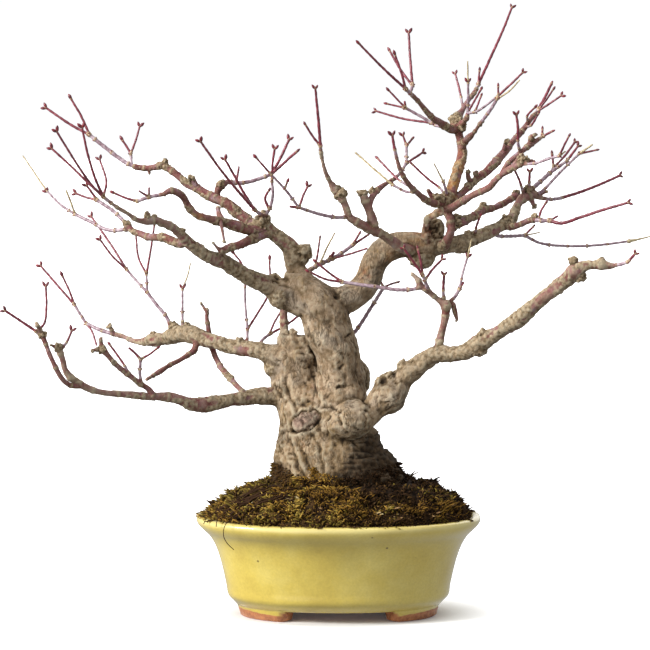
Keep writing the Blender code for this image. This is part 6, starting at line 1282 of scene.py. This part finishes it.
def spray(name, reach, routes, number):
    """The twigs and buds of one collar. Up to its last fork a twig is last year's wood, violet grey and ringed where
    buds once sat. Beyond it the twig is new, dark red and smooth, with one or two buds at its tip."""
    parts, marks = [], []
    starts = [in_space(drawn[:1])[0][0] for _, _, _, drawn in routes]
    for index, (start, end, count, drawn) in enumerate(routes):
        points, factor = in_space(drawn)
        radii = np.linspace(start, end, len(points)) * factor / 2
        path = smooth_route(np.hstack([points, radii[:, None]]), 0.5)
        forks, length = junctions(path[:, :3], starts[:index] + starts[index + 1:])
        forks = forks[forks > (2.5 if index == 0 else 1.5)]
        if index == 0:
            kept = length >= reach - 0.2
            path, length = path[kept], length[kept]
        along, first, other = frames(path[:, :3])
        dead = float(count == 0 and end < 1.0)
        if len(forks):
            change = forks[-1]
        else:
            change = length[0] + (0.22 * (length[-1] - length[0]) if index == 0 else 1.2)
        spacing = 11.0 + 6.0 * abs(math.sin(number * 3.1 + index * 1.7))
        old_nodes = np.arange(length[0] + 3 + 3 * abs(math.sin(number + index)), change - 3, spacing)
        nodes = np.concatenate([old_nodes, forks, [change]])
        swell = np.clip(sum(bell(length - at, 0.62) for at in nodes), 0, 1)
        if count:
            swell = np.maximum(swell, 0.75 * bell(length - length[-1] + 0.3, 0.5))
        red = step_up(length, change - 0.6, change + 0.6)
        uneven = 1 + 0.07 * np.sin(length * 1.9 + number) + 0.3 * swell
        tube = swept(path[:, :3], path[:, 3] * uneven, 9)
        parts.append(tube)
        columns = np.stack([red, np.clip(swell * 1.3 - 0.2, 0, 1), 0 * red, dead + 0 * red], axis=1)
        marks.append(np.vstack([np.repeat(np.pad(columns, ((3, 3), (0, 0)), mode="edge"), 9, axis=0),
                                columns[0], columns[-1]]))
        for pair, at in enumerate([] if dead else [*old_nodes, *forks]):
            spot = int(np.argmin(np.abs(length - at)))
            turn = pair * math.pi / 2 + number * 0.6
            out = math.cos(turn) * first[spot] + math.sin(turn) * other[spot]
            for side in (-1, 1):
                way = unit(along[spot] * 1.1 + side * out)
                base = path[spot, :3] + side * out * path[spot, 3] * 0.7
                shape = scales_of_bud(base, way, unit(np.cross(way, along[spot])), 1.2, 0.42)
                parts.append(shape)
                marks.append(np.tile([1.0, 0.0, 0.7, 0.0], (len(shape[0]), 1)))
        if count:
            tip, way = path[-1, :3], along[-1]
            apart = unit(np.cross(way, (0.15 * math.sin(number + index), 1, 0.3 * math.sin(2 * number + index))))
            leans = [way] if count == 1 else [unit(way + side * 0.6 * apart) for side in (-1, 1)]
            for side, lean in zip((-1, 1), leans):
                base = tip + (lean - way) * path[-1, 3] * 1.1 - way * 0.35
                size = (1.0 if "left" in name else 0.84) + 0.1 * math.sin(number * 2.3 + index + side)
                shape = scales_of_bud(base, lean, unit(np.cross(lean, (0.2, 0.9, -0.3))), 2.8 * size, 0.8 * size)
                parts.append(shape)
                marks.append(np.tile([1.0, 0.0, 1.0, 0.0], (len(shape[0]), 1)))
    points, quads, triangles = joined(parts)
    marks = np.vstack(marks)
    wobble = 0.08 * noise_rows(points / 1.7, number, number + 1, number + 2)
    made = mesh_object(name.replace("twigs", "spray"), points + wobble, quads, triangles, {
        "red": marks[:, 0], "ring": marks[:, 1], "bud": marks[:, 2], "dead": marks[:, 3]})
    dressed(made, TWIG, "twig_bark", name)


def make_sprays():
    for number, (name, (reach, routes)) in enumerate(SPRAYS.items()):
        spray(name, reach, routes, number)


# moss

MOUND_EDGE, MOUND_TOP = 49.0, 66.5
MOSS_REACH = 65.3
POT_SHALLOWER = 14.5
POT_EXPONENT = 2.25
ROOT_PLAN = (0.3, 34.5, 25.75)
UPWARD = np.array([0.0, 0.0, 1.0])


def pot_plan(angles, half_width):
    """A point of the pot's oval: half widths along x, and along y 14.5 mm less, on a superellipse."""
    across, deep = np.cos(angles), np.sin(angles)
    reach = (np.abs(across) ** POT_EXPONENT + np.abs(deep) ** POT_EXPONENT) ** (-1 / POT_EXPONENT)
    return half_width * reach * across, (half_width - POT_SHALLOWER) * reach * deep


def ground(angles, share):
    """Points on the mound, share 0 at the roots' ellipse and 1 at the rim: z = edge + (top - edge) *
    (1 - share^1.6)^0.75 + lumps, which are three noises that fade towards the roots and the rim."""
    inner_x = ROOT_PLAN[0] + ROOT_PLAN[1] * np.cos(angles)
    inner_y = ROOT_PLAN[2] * np.sin(angles)
    outer_x, outer_y = pot_plan(angles, MOSS_REACH + 1.4 * np.sin(7 * angles + 1) * np.sin(3 * angles))
    x, y = inner_x + (outer_x - inner_x) * share, inner_y + (outer_y - inner_y) * share
    z = MOUND_EDGE + (MOUND_TOP - MOUND_EDGE) * np.clip(1 - np.clip(share, 0, 1) ** 1.6, 0, 1) ** 0.75
    points = np.stack([x, y, z], axis=-1)
    flat = points.reshape(-1, 3)
    lumps = 1.9 * noise(flat / (9, 9, 30), 2) + 1.7 * noise(flat / (4.2, 4.2, 20), 3)
    lumps += 0.7 * noise(flat / (1.7, 1.7, 12), 4)
    points[..., 2] += lumps.reshape(x.shape) * np.clip(5 * share, 0.3, 1) * np.clip(6.5 - 6 * share, 0.35, 1)
    return points


def right_side_shadow(points):
    """How much painted shadow darkens the moss towards the right, as the trunk's shadow, all but its front edge: two
    step_up values multiplied.
    """
    return 0.42 * step_up(points[:, 0], -12, 22) * step_up(points[:, 1], -66, -38)


def moss_mat(finish):
    """A bumpy mat over the mound, closed by a flat ring beneath it."""
    sides = 360
    angles = all_round(sides)
    share = np.concatenate([np.linspace(-0.06, 1.0, 82), [1.015, 1.02, 1.0]])
    rings = np.stack([ground(angles, np.full(sides, s)) for s in share])
    rings[-3:, :, 2] -= np.array([0.8, 1.8, 2.6])[:, None]
    points = rings.reshape(-1, 3)
    # Painted shadow darkens the mat towards the right.
    tone = 0.35 + 0.45 * fractal(points / (5, 5, 20), 3, 17) - right_side_shadow(points)
    tip = 0.3 + 0.5 * noise(points / (1.7, 1.7, 12), 4) + 0.3 * noise(points / 0.8, 6)
    last, side = (len(share) - 1) * sides, np.arange(sides)
    after = (side + 1) % sides
    close = np.stack([last + side, last + after, after, side], axis=1)
    quads = np.vstack([grid_faces(len(share), sides), close])[:, ::-1]
    made = mesh_object("moss_mat", points, quads, attributes={
        "tone": np.clip(tone, 0, 1), "tip": np.clip(tip, 0, 0.7)})
    dressed(made, finish, "moss", "moss")


def on_ground(count, random, near=None):
    """Places on the mound, spread evenly or bunched round patches of (angle, share, spread), and the way out."""
    if near is None:
        angles = random.uniform(0, math.tau, count)
        share = np.sqrt(random.uniform(0.0, 1.0, count))
    else:
        pick = np.asarray(near)[random.integers(0, len(near), count)]
        angles = pick[:, 0] + random.normal(0, 1, count) * pick[:, 2]
        share = np.clip(pick[:, 1] + random.normal(0, 1, count) * pick[:, 2] * 0.6, 0.01, 1.03)
    outward = np.stack([np.cos(angles) * share, np.sin(angles) * share, np.zeros(count)], axis=1) * 0.35
    return ground(angles, share), outward + UPWARD


def on_trunk(count, random, near):
    """Places low on the roots, bunched round patches of (angle, height, spread of each), and the way out."""
    pick = np.asarray(near)[random.integers(0, len(near), count)]
    angles = pick[:, 0] + random.normal(0, 1, count) * pick[:, 2]
    height = np.maximum(pick[:, 1] - np.abs(random.normal(0, 1, count)) * pick[:, 3], 62)
    flare = np.array(COLUMNS["root_flare"])
    half_x, half_y = (np.interp(height, flare[:, 1], flare[:, column]) / 2 + 0.4 for column in (3, 4))
    x = np.interp(height, flare[:, 1], flare[:, 0]) + half_x * np.cos(angles)
    y = half_y * np.sin(angles)
    outward = np.stack([np.cos(angles), np.sin(angles), np.full(count, 0.35)], axis=1)
    return np.stack([x, y, height], axis=1), outward


def on_lip(count, random):
    """Places on top of the pot's lip, in bunches, along the front and all over the left end, and the way out."""
    angles = np.concatenate([random.uniform(-3.0, -0.3, count), random.uniform(2.9, 3.45, count // 3)])
    angles += 0.04 * np.sin(37 * angles) + 0.02 * np.sin(83 * angles)
    left = bell(np.abs(np.abs(angles) - math.pi), 0.35)
    half_width = 66.5 + random.uniform(0, 1, len(angles)) * (3.2 + 1.2 * left + 0.8 * np.sin(9 * angles))
    points = np.stack([*pot_plan(angles, half_width), 50 - 1.2 * step_up(half_width, 69, 71.5)], axis=1)
    return points, np.stack([0.7 * np.cos(angles), 0.7 * np.sin(angles), np.full(len(angles), 0.3)], axis=1)


def shoots(name, finish, places, height, width, lean, random, tones=(0.0, 0.92), curl=0.6):
    """Curved three-sided shoots: place + height * (t out + lean t aside + curl t^2 sideways), with rings of 1, 0.9
    and 0.6 of the width and then a point."""
    roots, outward = places
    count = len(roots)
    clumps = np.clip(0.65 + 0.95 * noise(roots / 3, 91), 0.3, 1.6)
    tall = height * random.uniform(0.5, 1.15, count) * clumps
    turn = 7 * noise(roots / 5, 92) + random.normal(0, 0.9, count)
    aside = np.stack([np.cos(turn), np.sin(turn), np.zeros(count)], axis=1)
    bend = random.uniform(0, math.tau, count)
    side = np.stack([np.cos(bend), np.sin(bend), np.full(count, -0.35)], axis=1)
    t = np.array([0.0, 0.38, 0.72, 1.0])[None, :, None]
    way = outward + (lean * random.uniform(0.2, 1.3, count))[:, None] * aside
    spine = roots[:, None] - 0.4 * outward[:, None]
    spine = spine + tall[:, None, None] * (t * way[:, None] + curl * t ** 2 * side[:, None])
    corner = all_round(3)[None, :, None]
    first = unit_rows(np.cross(way, np.stack([-np.sin(bend), np.cos(bend), np.full(count, 0.3)], axis=1)))
    second = unit_rows(np.cross(way, first))
    spokes = np.cos(corner) * first[:, None] + np.sin(corner) * second[:, None]
    taper = np.array([1.0, 0.9, 0.6])[None, :, None, None] * width / 2
    rings = spine[:, :3, None] + taper * random.uniform(0.7, 1.3, count)[:, None, None, None] * spokes[:, None]
    points = np.concatenate([rings.reshape(count, 9, 3), spine[:, 3:4]], axis=1).reshape(-1, 3)
    start = (np.arange(count) * 10)[:, None, None]
    quads = np.array([[r * 3 + s, r * 3 + (s + 1) % 3, r * 3 + 3 + (s + 1) % 3, r * 3 + 3 + s]
                      for r in range(2) for s in range(3)])
    tips = np.array([[6 + s, 6 + (s + 1) % 3, 9] for s in range(3)] + [[2, 1, 0]])
    # Painted shadow darkens the shoots towards the right.
    tone = random.uniform(*tones, count) + 0.5 * fractal(roots / (7, 7, 30), 2, 5) - right_side_shadow(roots)
    tone = np.clip(tone, 0, 1)
    made = mesh_object(name, points, (quads[None] + start).reshape(-1, 4), (tips[None] + start).reshape(-1, 3), {
        "tone": np.repeat(tone, 10), "tip": np.tile(np.repeat([0.0, 0.35, 0.8, 1.0], [3, 3, 3, 1]), count)})
    dressed(made, finish, "moss")


# Root hairs that hang over the pot's lip at the left: across, up and depth.
ROOT_HAIRS = (
    ((-50, 49, -37), (-53.5, 47.4, -40.5), (-57, 44, -43.4), (-57.7, 39, -43), (-56, 35.3, -42),
     (-52.6, 31.9, -42.6)),
    ((-54, 50.5, -33), (-58, 49.6, -36), (-61, 46.6, -38), (-61.4, 43.6, -38)),
    ((-59, 51, -27), (-63, 50.2, -29), (-66.4, 47.6, -30), (-67.6, 45, -30)),
    ((-46, 49.4, -41), (-48, 48.6, -45), (-47.6, 45.6, -47.6), (-46, 44, -47.6)),
)


def root_hairs(finish, random):
    """Thin brown roots: some hang over the lip, others lie along the moss at the left on their way to the trunk."""
    parts = []
    for start in random.uniform(-2.85, -2.3, 26):
        share = np.linspace(random.uniform(0.8, 1.02), random.uniform(0.3, 0.65), 9)
        angles = start + random.uniform(0.35, 0.8) * (share[0] - share) + 0.03 * np.sin(9 * share + 30 * start)
        path = smooth_route(ground(angles, share) + (0, 0, random.uniform(1.0, 2.2)), 1.2)
        parts.append(swept(path, np.full(len(path), 0.36), 5))
    for rows in ROOT_HAIRS:
        points, _ = in_space(rows)
        path = smooth_route(np.hstack([points, np.full((len(points), 1), 0.2)]), 0.7)
        parts.append(swept(path[:, :3], path[:, 3], 5))
    points, quads, triangles = joined(parts)
    made = mesh_object("root_hairs", points, quads, triangles, {
        "tone": np.full(len(points), 0.1), "tip": np.full(len(points), 0.2)})
    dressed(made, finish, "moss")


def make_moss():
    dark = moss_finish("moss_dark", (0.08, "0e0905", "382512"), (0.35, "170f08", "5c4220"), (0.6, "1f170a", "6a5620"),
                       (0.78, "2a210d", "80712c"), (0.95, "3a2c12", "96803c"))
    gold = moss_finish("moss_gold", (0.2, "3a280f", "86642a"), (0.6, "513c14", "ab8434"), (0.9, "63501f", "c4a250"))
    straw = moss_finish("straw", (0.15, "2c1c10", "4d3622"), (0.6, "6a4e30", "957650"), (0.9, "8f7a52", "c6b688"))
    moss_mat(dark)
    random = np.random.default_rng(7)
    shoots("moss_shoots", dark, on_ground(7400, random), 2.9, 1.4, 0.9, random)
    rim = [(angle, 0.99, 0.05) for angle in np.linspace(-math.pi, math.pi, 60)]
    rim += [(angle, 1.025, 0.05) for angle in np.linspace(-2.5, -0.6, 24)]
    rim += [(angle, 1.03, 0.06) for angle in (-3.1, -2.95, -2.8, -2.62, 3.0)] * 3
    shoots("moss_rim_shoots", dark, on_ground(2800, random, rim), 2.2, 1.2, 0.9, random)
    shoots("moss_on_lip", dark, on_lip(2000, random), 1.5, 0.85, 1.0, random)
    patches = [(-1.72, 0.3, 0.16), (-1.6, 0.55, 0.16), (-1.45, 0.8, 0.16), (-1.95, 0.8, 0.14), (-2.5, 0.92, 0.2),
               (-2.95, 0.9, 0.16), (-0.5, 0.85, 0.12), (-0.9, 0.75, 0.12), (-2.2, 0.4, 0.12), (0.7, 0.7, 0.3),
               (2.4, 0.6, 0.3), (1.5, 0.5, 0.3)]
    shoots("moss_gold_shoots", gold, on_ground(3000, random, patches), 3.1, 1.0, 1.0, random)
    roots = [(-3.0, 74, 0.14, 5), (-2.85, 76, 0.14, 5), (-2.65, 75, 0.14, 5), (-2.45, 72, 0.12, 4),
             (-1.0, 73, 0.16, 4), (-0.75, 75, 0.16, 5), (-0.45, 76, 0.16, 5), (-0.1, 76, 0.2, 5), (0.6, 71, 0.5, 4),
             (1.8, 71, 0.6, 4), (2.8, 74, 0.3, 5), (-2.0, 70, 0.2, 3), (-1.4, 71, 0.15, 3), (-2.15, 70, 0.08, 3),
             (-1.9, 69, 0.1, 3), (-1.75, 68.5, 0.1, 2.5)]
    shoots("moss_on_roots", dark, on_trunk(3400, random, roots), 1.5, 1.0, 0.9, random, (0.0, 0.4))
    climbing = [(-1.93, 76, 0.05, 5), (-1.78, 73, 0.07, 4), (-2.1, 71, 0.08, 3)]
    shoots("moss_gold_on_roots", gold, on_trunk(500, random, climbing), 1.7, 0.85, 0.8, random)
    shoots("dead_grass", straw, on_ground(260, random), 4.4, 0.42, 2.0, random, (0.0, 0.7), 0.9)
    fallen = [(-1.25, 0.72, 0.07), (-1.1, 0.85, 0.12), (-0.7, 0.85, 0.12), (-1.75, 0.7, 0.15), (-2.3, 0.7, 0.2)]
    shoots("fallen_bits", straw, on_ground(64, random, fallen), 2.6, 1.3, 1.6, random, (0.5, 1.0), 0.9)
    root_hairs(straw, random)


# the pot

POT_OUTSIDE = ((7.5, 53.0), (10.0, 55.3), (15.0, 56.3), (22.0, 57.8), (29.8, 59.9), (34.5, 61.6), (38.5, 63.7),
               (41.3, 65.9), (43.6, 68.4), (45.4, 70.1), (46.8, 71.0), (48.2, 71.3), (49.4, 70.9), (50.0, 69.7))
POT_INSIDE = ((49.9, 67.2), (47.0, 64.8), (42.0, 60.8), (33.0, 55.6), (15.0, 51.0), (11.5, 49.5))
FOOT_ANGLES = ((190, 239), (302, 350), (10, 58), (122, 170))
HOLE_X, HOLE_RADIUS = 24.0, 7.0


def cut_or_join(obj, tool, operation):
    """Applies one Boolean and takes the tool away."""
    modifier = obj.modifiers.new("shape", "BOOLEAN")
    modifier.operation, modifier.solver, modifier.object = operation, "MANIFOLD", tool
    take_on(obj)
    bpy.data.objects.remove(tool, do_unlink=True)


def foot(first, last):
    """A foot: a rounded profile under the wall, carried along part of the pot's plan with its ends drawn in."""
    share = np.array([0.0, 0.03, 0.08, *np.linspace(0.14, 0.86, 15), 0.92, 0.97, 1.0])
    angles = np.radians(first + (last - first) * share)
    drawn_in = 1 - np.clip(np.abs(share - 0.5) - 0.42, 0, 1) ** 2 * 90
    corners = np.array(((40.5, 0.7), (41.2, 0.0), (48.9, 0.0), (49.9, 0.7), (50.6, 3.4), (51.0, 5.2), (51.6, 6.4),
                        (51.6, 7.0), (40.5, 7.0)))
    middle = 45.4
    rings = np.empty((len(share), len(corners), 3))
    for number, (half_width, height) in enumerate(corners):
        x, y = pot_plan(angles, middle + (half_width - middle) * (drawn_in if height < 5 else 1))
        rings[:, number] = np.stack([x, y, np.full(len(share), height) + (1 - drawn_in) * 1.5 * (height < 5)], axis=1)
    return closed_rings(rings[:, ::-1], rings[0].mean(axis=0), rings[-1].mean(axis=0))


def make_pot():
    """The wall's profile carried round the plan, with the feet joined on and the drain holes cut through."""
    turned = [(width, height, 0) for height, width in (*POT_OUTSIDE, *POT_INSIDE)]
    profile = smooth_route(turned, 0.8)[:, :2]
    profile = np.vstack([[(30, 5.3), (40, 5.3), (50.4, 5.4), (51.4, 5.8)], profile, [(47.0, 10.6), (40, 10.5)]])
    angles = all_round(288)
    rings = np.stack([np.stack([*pot_plan(angles, width), np.full(len(angles), height)], axis=1)
                      for width, height in profile])
    sway = 0.16 * noise(rings.reshape(-1, 3) / (22, 22, 9), 4).reshape(rings.shape[:2])
    rings[..., 0] *= 1 + sway / 60 * (profile[:, 1] > 8)[:, None]
    rings[..., 1] *= 1 + sway / 50 * (profile[:, 1] > 8)[:, None]
    pot = mesh_object("pot_glazed", *closed_rings(rings, (0, 0, 5.3), (0, 0, 10.5)))
    for first, last in FOOT_ANGLES:
        cut_or_join(pot, mesh_object("tool", *foot(first, last)), "UNION")
    for side in (-1, 1):
        path = np.array([(side * HOLE_X, 0, z) for z in (-4.0, 8.0, 20.0)])
        tool = mesh_object("tool", *swept(path, np.full(3, HOLE_RADIUS), 40, False))
        cut_or_join(pot, tool, "DIFFERENCE")
    points = points_of(pot.data)
    height = points[:, 2]
    outside = np.hypot(points[:, 0] / 71, points[:, 1] / 56.5)
    pool = bell(height - 42.0, 3.4) * (outside > 0.85) + 0.8 * bell(height - 9.0, 1.3)
    plan = ((np.abs(points[:, 0]) / 50.2) ** POT_EXPONENT
            + (np.abs(points[:, 1]) / (50.2 - POT_SHALLOWER)) ** POT_EXPONENT)
    bare = (height < 5.6) * (plan < 1)
    for key, values in (("lip", bell(height - 48.6, 1.3)), ("pool", pool), ("bare", bare)):
        layer = pot.data.attributes.new(key, "FLOAT", "POINT")
        layer.data.foreach_set("value", values.astype(np.float32))
    pot.data.polygons.foreach_set("use_smooth", np.ones(len(pot.data.polygons), bool))
    pot.data.materials.clear()
    dressed(pot, GLAZE, "yellow_glaze", "pot")


def finish_plain_solids():
    """Soil and drain screens keep their solids and get a better finish."""
    grit = ground_finish("pot_soil", "1c120b", "4a3524", 420)
    mesh = Finish("screen_plastic", 0.55)
    mesh.colour(mesh.ramp(mesh.noise(900, 2), (0.3, "141414"), (0.7, "232323")))
    for name, finish in (("soil", grit), ("drain_screen_left", mesh.material), ("drain_screen_right", mesh.material)):
        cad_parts[name].material_slots[0].material = finish


# stage, light and camera

FLOOR_HEIGHT, CARD_HEIGHT = -0.2, -0.1
LENS, SENSOR = 166.5, 36.0
LOOKING_DOWN = math.radians(3.624)
LIGHT_STRENGTH, BACKDROP_STRENGTH = 0.52, 1.05
LAMPS = (
    ("key", (-1.6, -0.62, 0.95), 4.9, 20, (1.0, 0.985, 0.97)),
    ("top", (-0.2, -0.2, 1.5), 0.9, 50, (1, 1, 1)),
    ("back", (0.5, 1.3, 0.8), 0.6, 50, (1, 1, 1)),
    ("front", (-0.9, -1.5, 0.3), 0.7, 60, (1, 0.99, 0.98)),
)


def glowing_paper():
    """A pale round floor, 60 m wide, a fifth of a millimetre under the feet, and a card of the pot's plan half way
    between. The floor throws no light back. Both glow as painted light, faintly near the pot and more so away from
    it, which washes out the cast shadows there."""
    sides = 96
    angles = all_round(sides)
    reach = np.array([600, 2000, 8000, 30000.0])[:, None]
    rings = np.stack([reach * np.cos(angles), reach * np.sin(angles), np.full((4, sides), FLOOR_HEIGHT)], axis=-1)
    side = np.arange(sides)
    inner = np.stack([np.full(sides, 4 * sides), side, (side + 1) % sides], axis=1)
    floor = mesh_object("paper_floor", np.vstack([rings.reshape(-1, 3), (0, 0, FLOOR_HEIGHT)]),
                        grid_faces(4, sides)[:, ::-1], inner)
    rim = np.stack([*pot_plan(angles, 52), np.full(sides, CARD_HEIGHT)], axis=1)
    fan = np.stack([np.full(sides, sides), side, (side + 1) % sides], axis=1)
    card = mesh_object("paper_card", np.vstack([rim, (0, 0, CARD_HEIGHT)]), np.zeros((0, 4), int), fan)
    f = Finish("glowing_paper", 0.95, Specular_IOR_Level=0.1, Base_Color=(0.83, 0.83, 0.84, 1), Emission_Color=(1, 1, 1, 1))
    reach = f.add("VectorMath", {0: f.stretched(1, 1.3, 0)}, operation="LENGTH").outputs[1]
    # Painted light: the glow rises away from the pot's plan.
    f.tree.links.new(f.span(reach, 0.052, 0.085, 0.03, 0.7), f.shader.inputs["Emission Strength"])
    for sheet in (floor, card):
        sheet.data.materials.append(f.material)
    floor.visible_glossy = floor.visible_diffuse = False


def lamp(name, place, strength, spread, tint):
    """A distant lamp that shines from place to the pot, as wide as spread degrees."""
    light = bpy.data.lights.new(name, "SUN")
    light.energy, light.angle, light.color = strength, math.radians(spread), tint
    obj = in_scene(name, light)
    obj.location = place
    obj.rotation_euler = (Vector((0, 0, 0.14)) - Vector(place)).to_track_quat("-Z", "Y").to_euler()


def make_studio():
    glowing_paper()
    for values in LAMPS:
        lamp(*values)
    world = bpy.data.worlds.new("studio")
    world.use_nodes = True
    nodes, links = world.node_tree.nodes, world.node_tree.links
    strength = nodes.new("ShaderNodeMapRange")
    strength.inputs["To Min"].default_value = LIGHT_STRENGTH
    strength.inputs["To Max"].default_value = BACKDROP_STRENGTH
    links.new(nodes.new("ShaderNodeLightPath").outputs["Is Camera Ray"], strength.inputs["Value"])
    nodes["Background"].inputs[0].default_value = (0.97, 0.98, 1.0, 1)
    links.new(strength.outputs["Result"], nodes["Background"].inputs[1])
    bpy.context.scene.world = world
    lens = bpy.data.cameras.new("camera")
    lens.lens, lens.sensor_width = LENS, SENSOR
    lens.clip_start, lens.clip_end = 0.05, 30.0
    camera = in_scene("camera", lens)
    camera.location = EYE * MM
    camera.rotation_euler = (math.radians(90) - LOOKING_DOWN, 0, 0)
    bpy.context.scene.camera = camera
    bpy.context.scene.view_settings.view_transform = "Standard"


make_wood()
make_sprays()
make_moss()
make_pot()
finish_plain_solids()
make_studio()
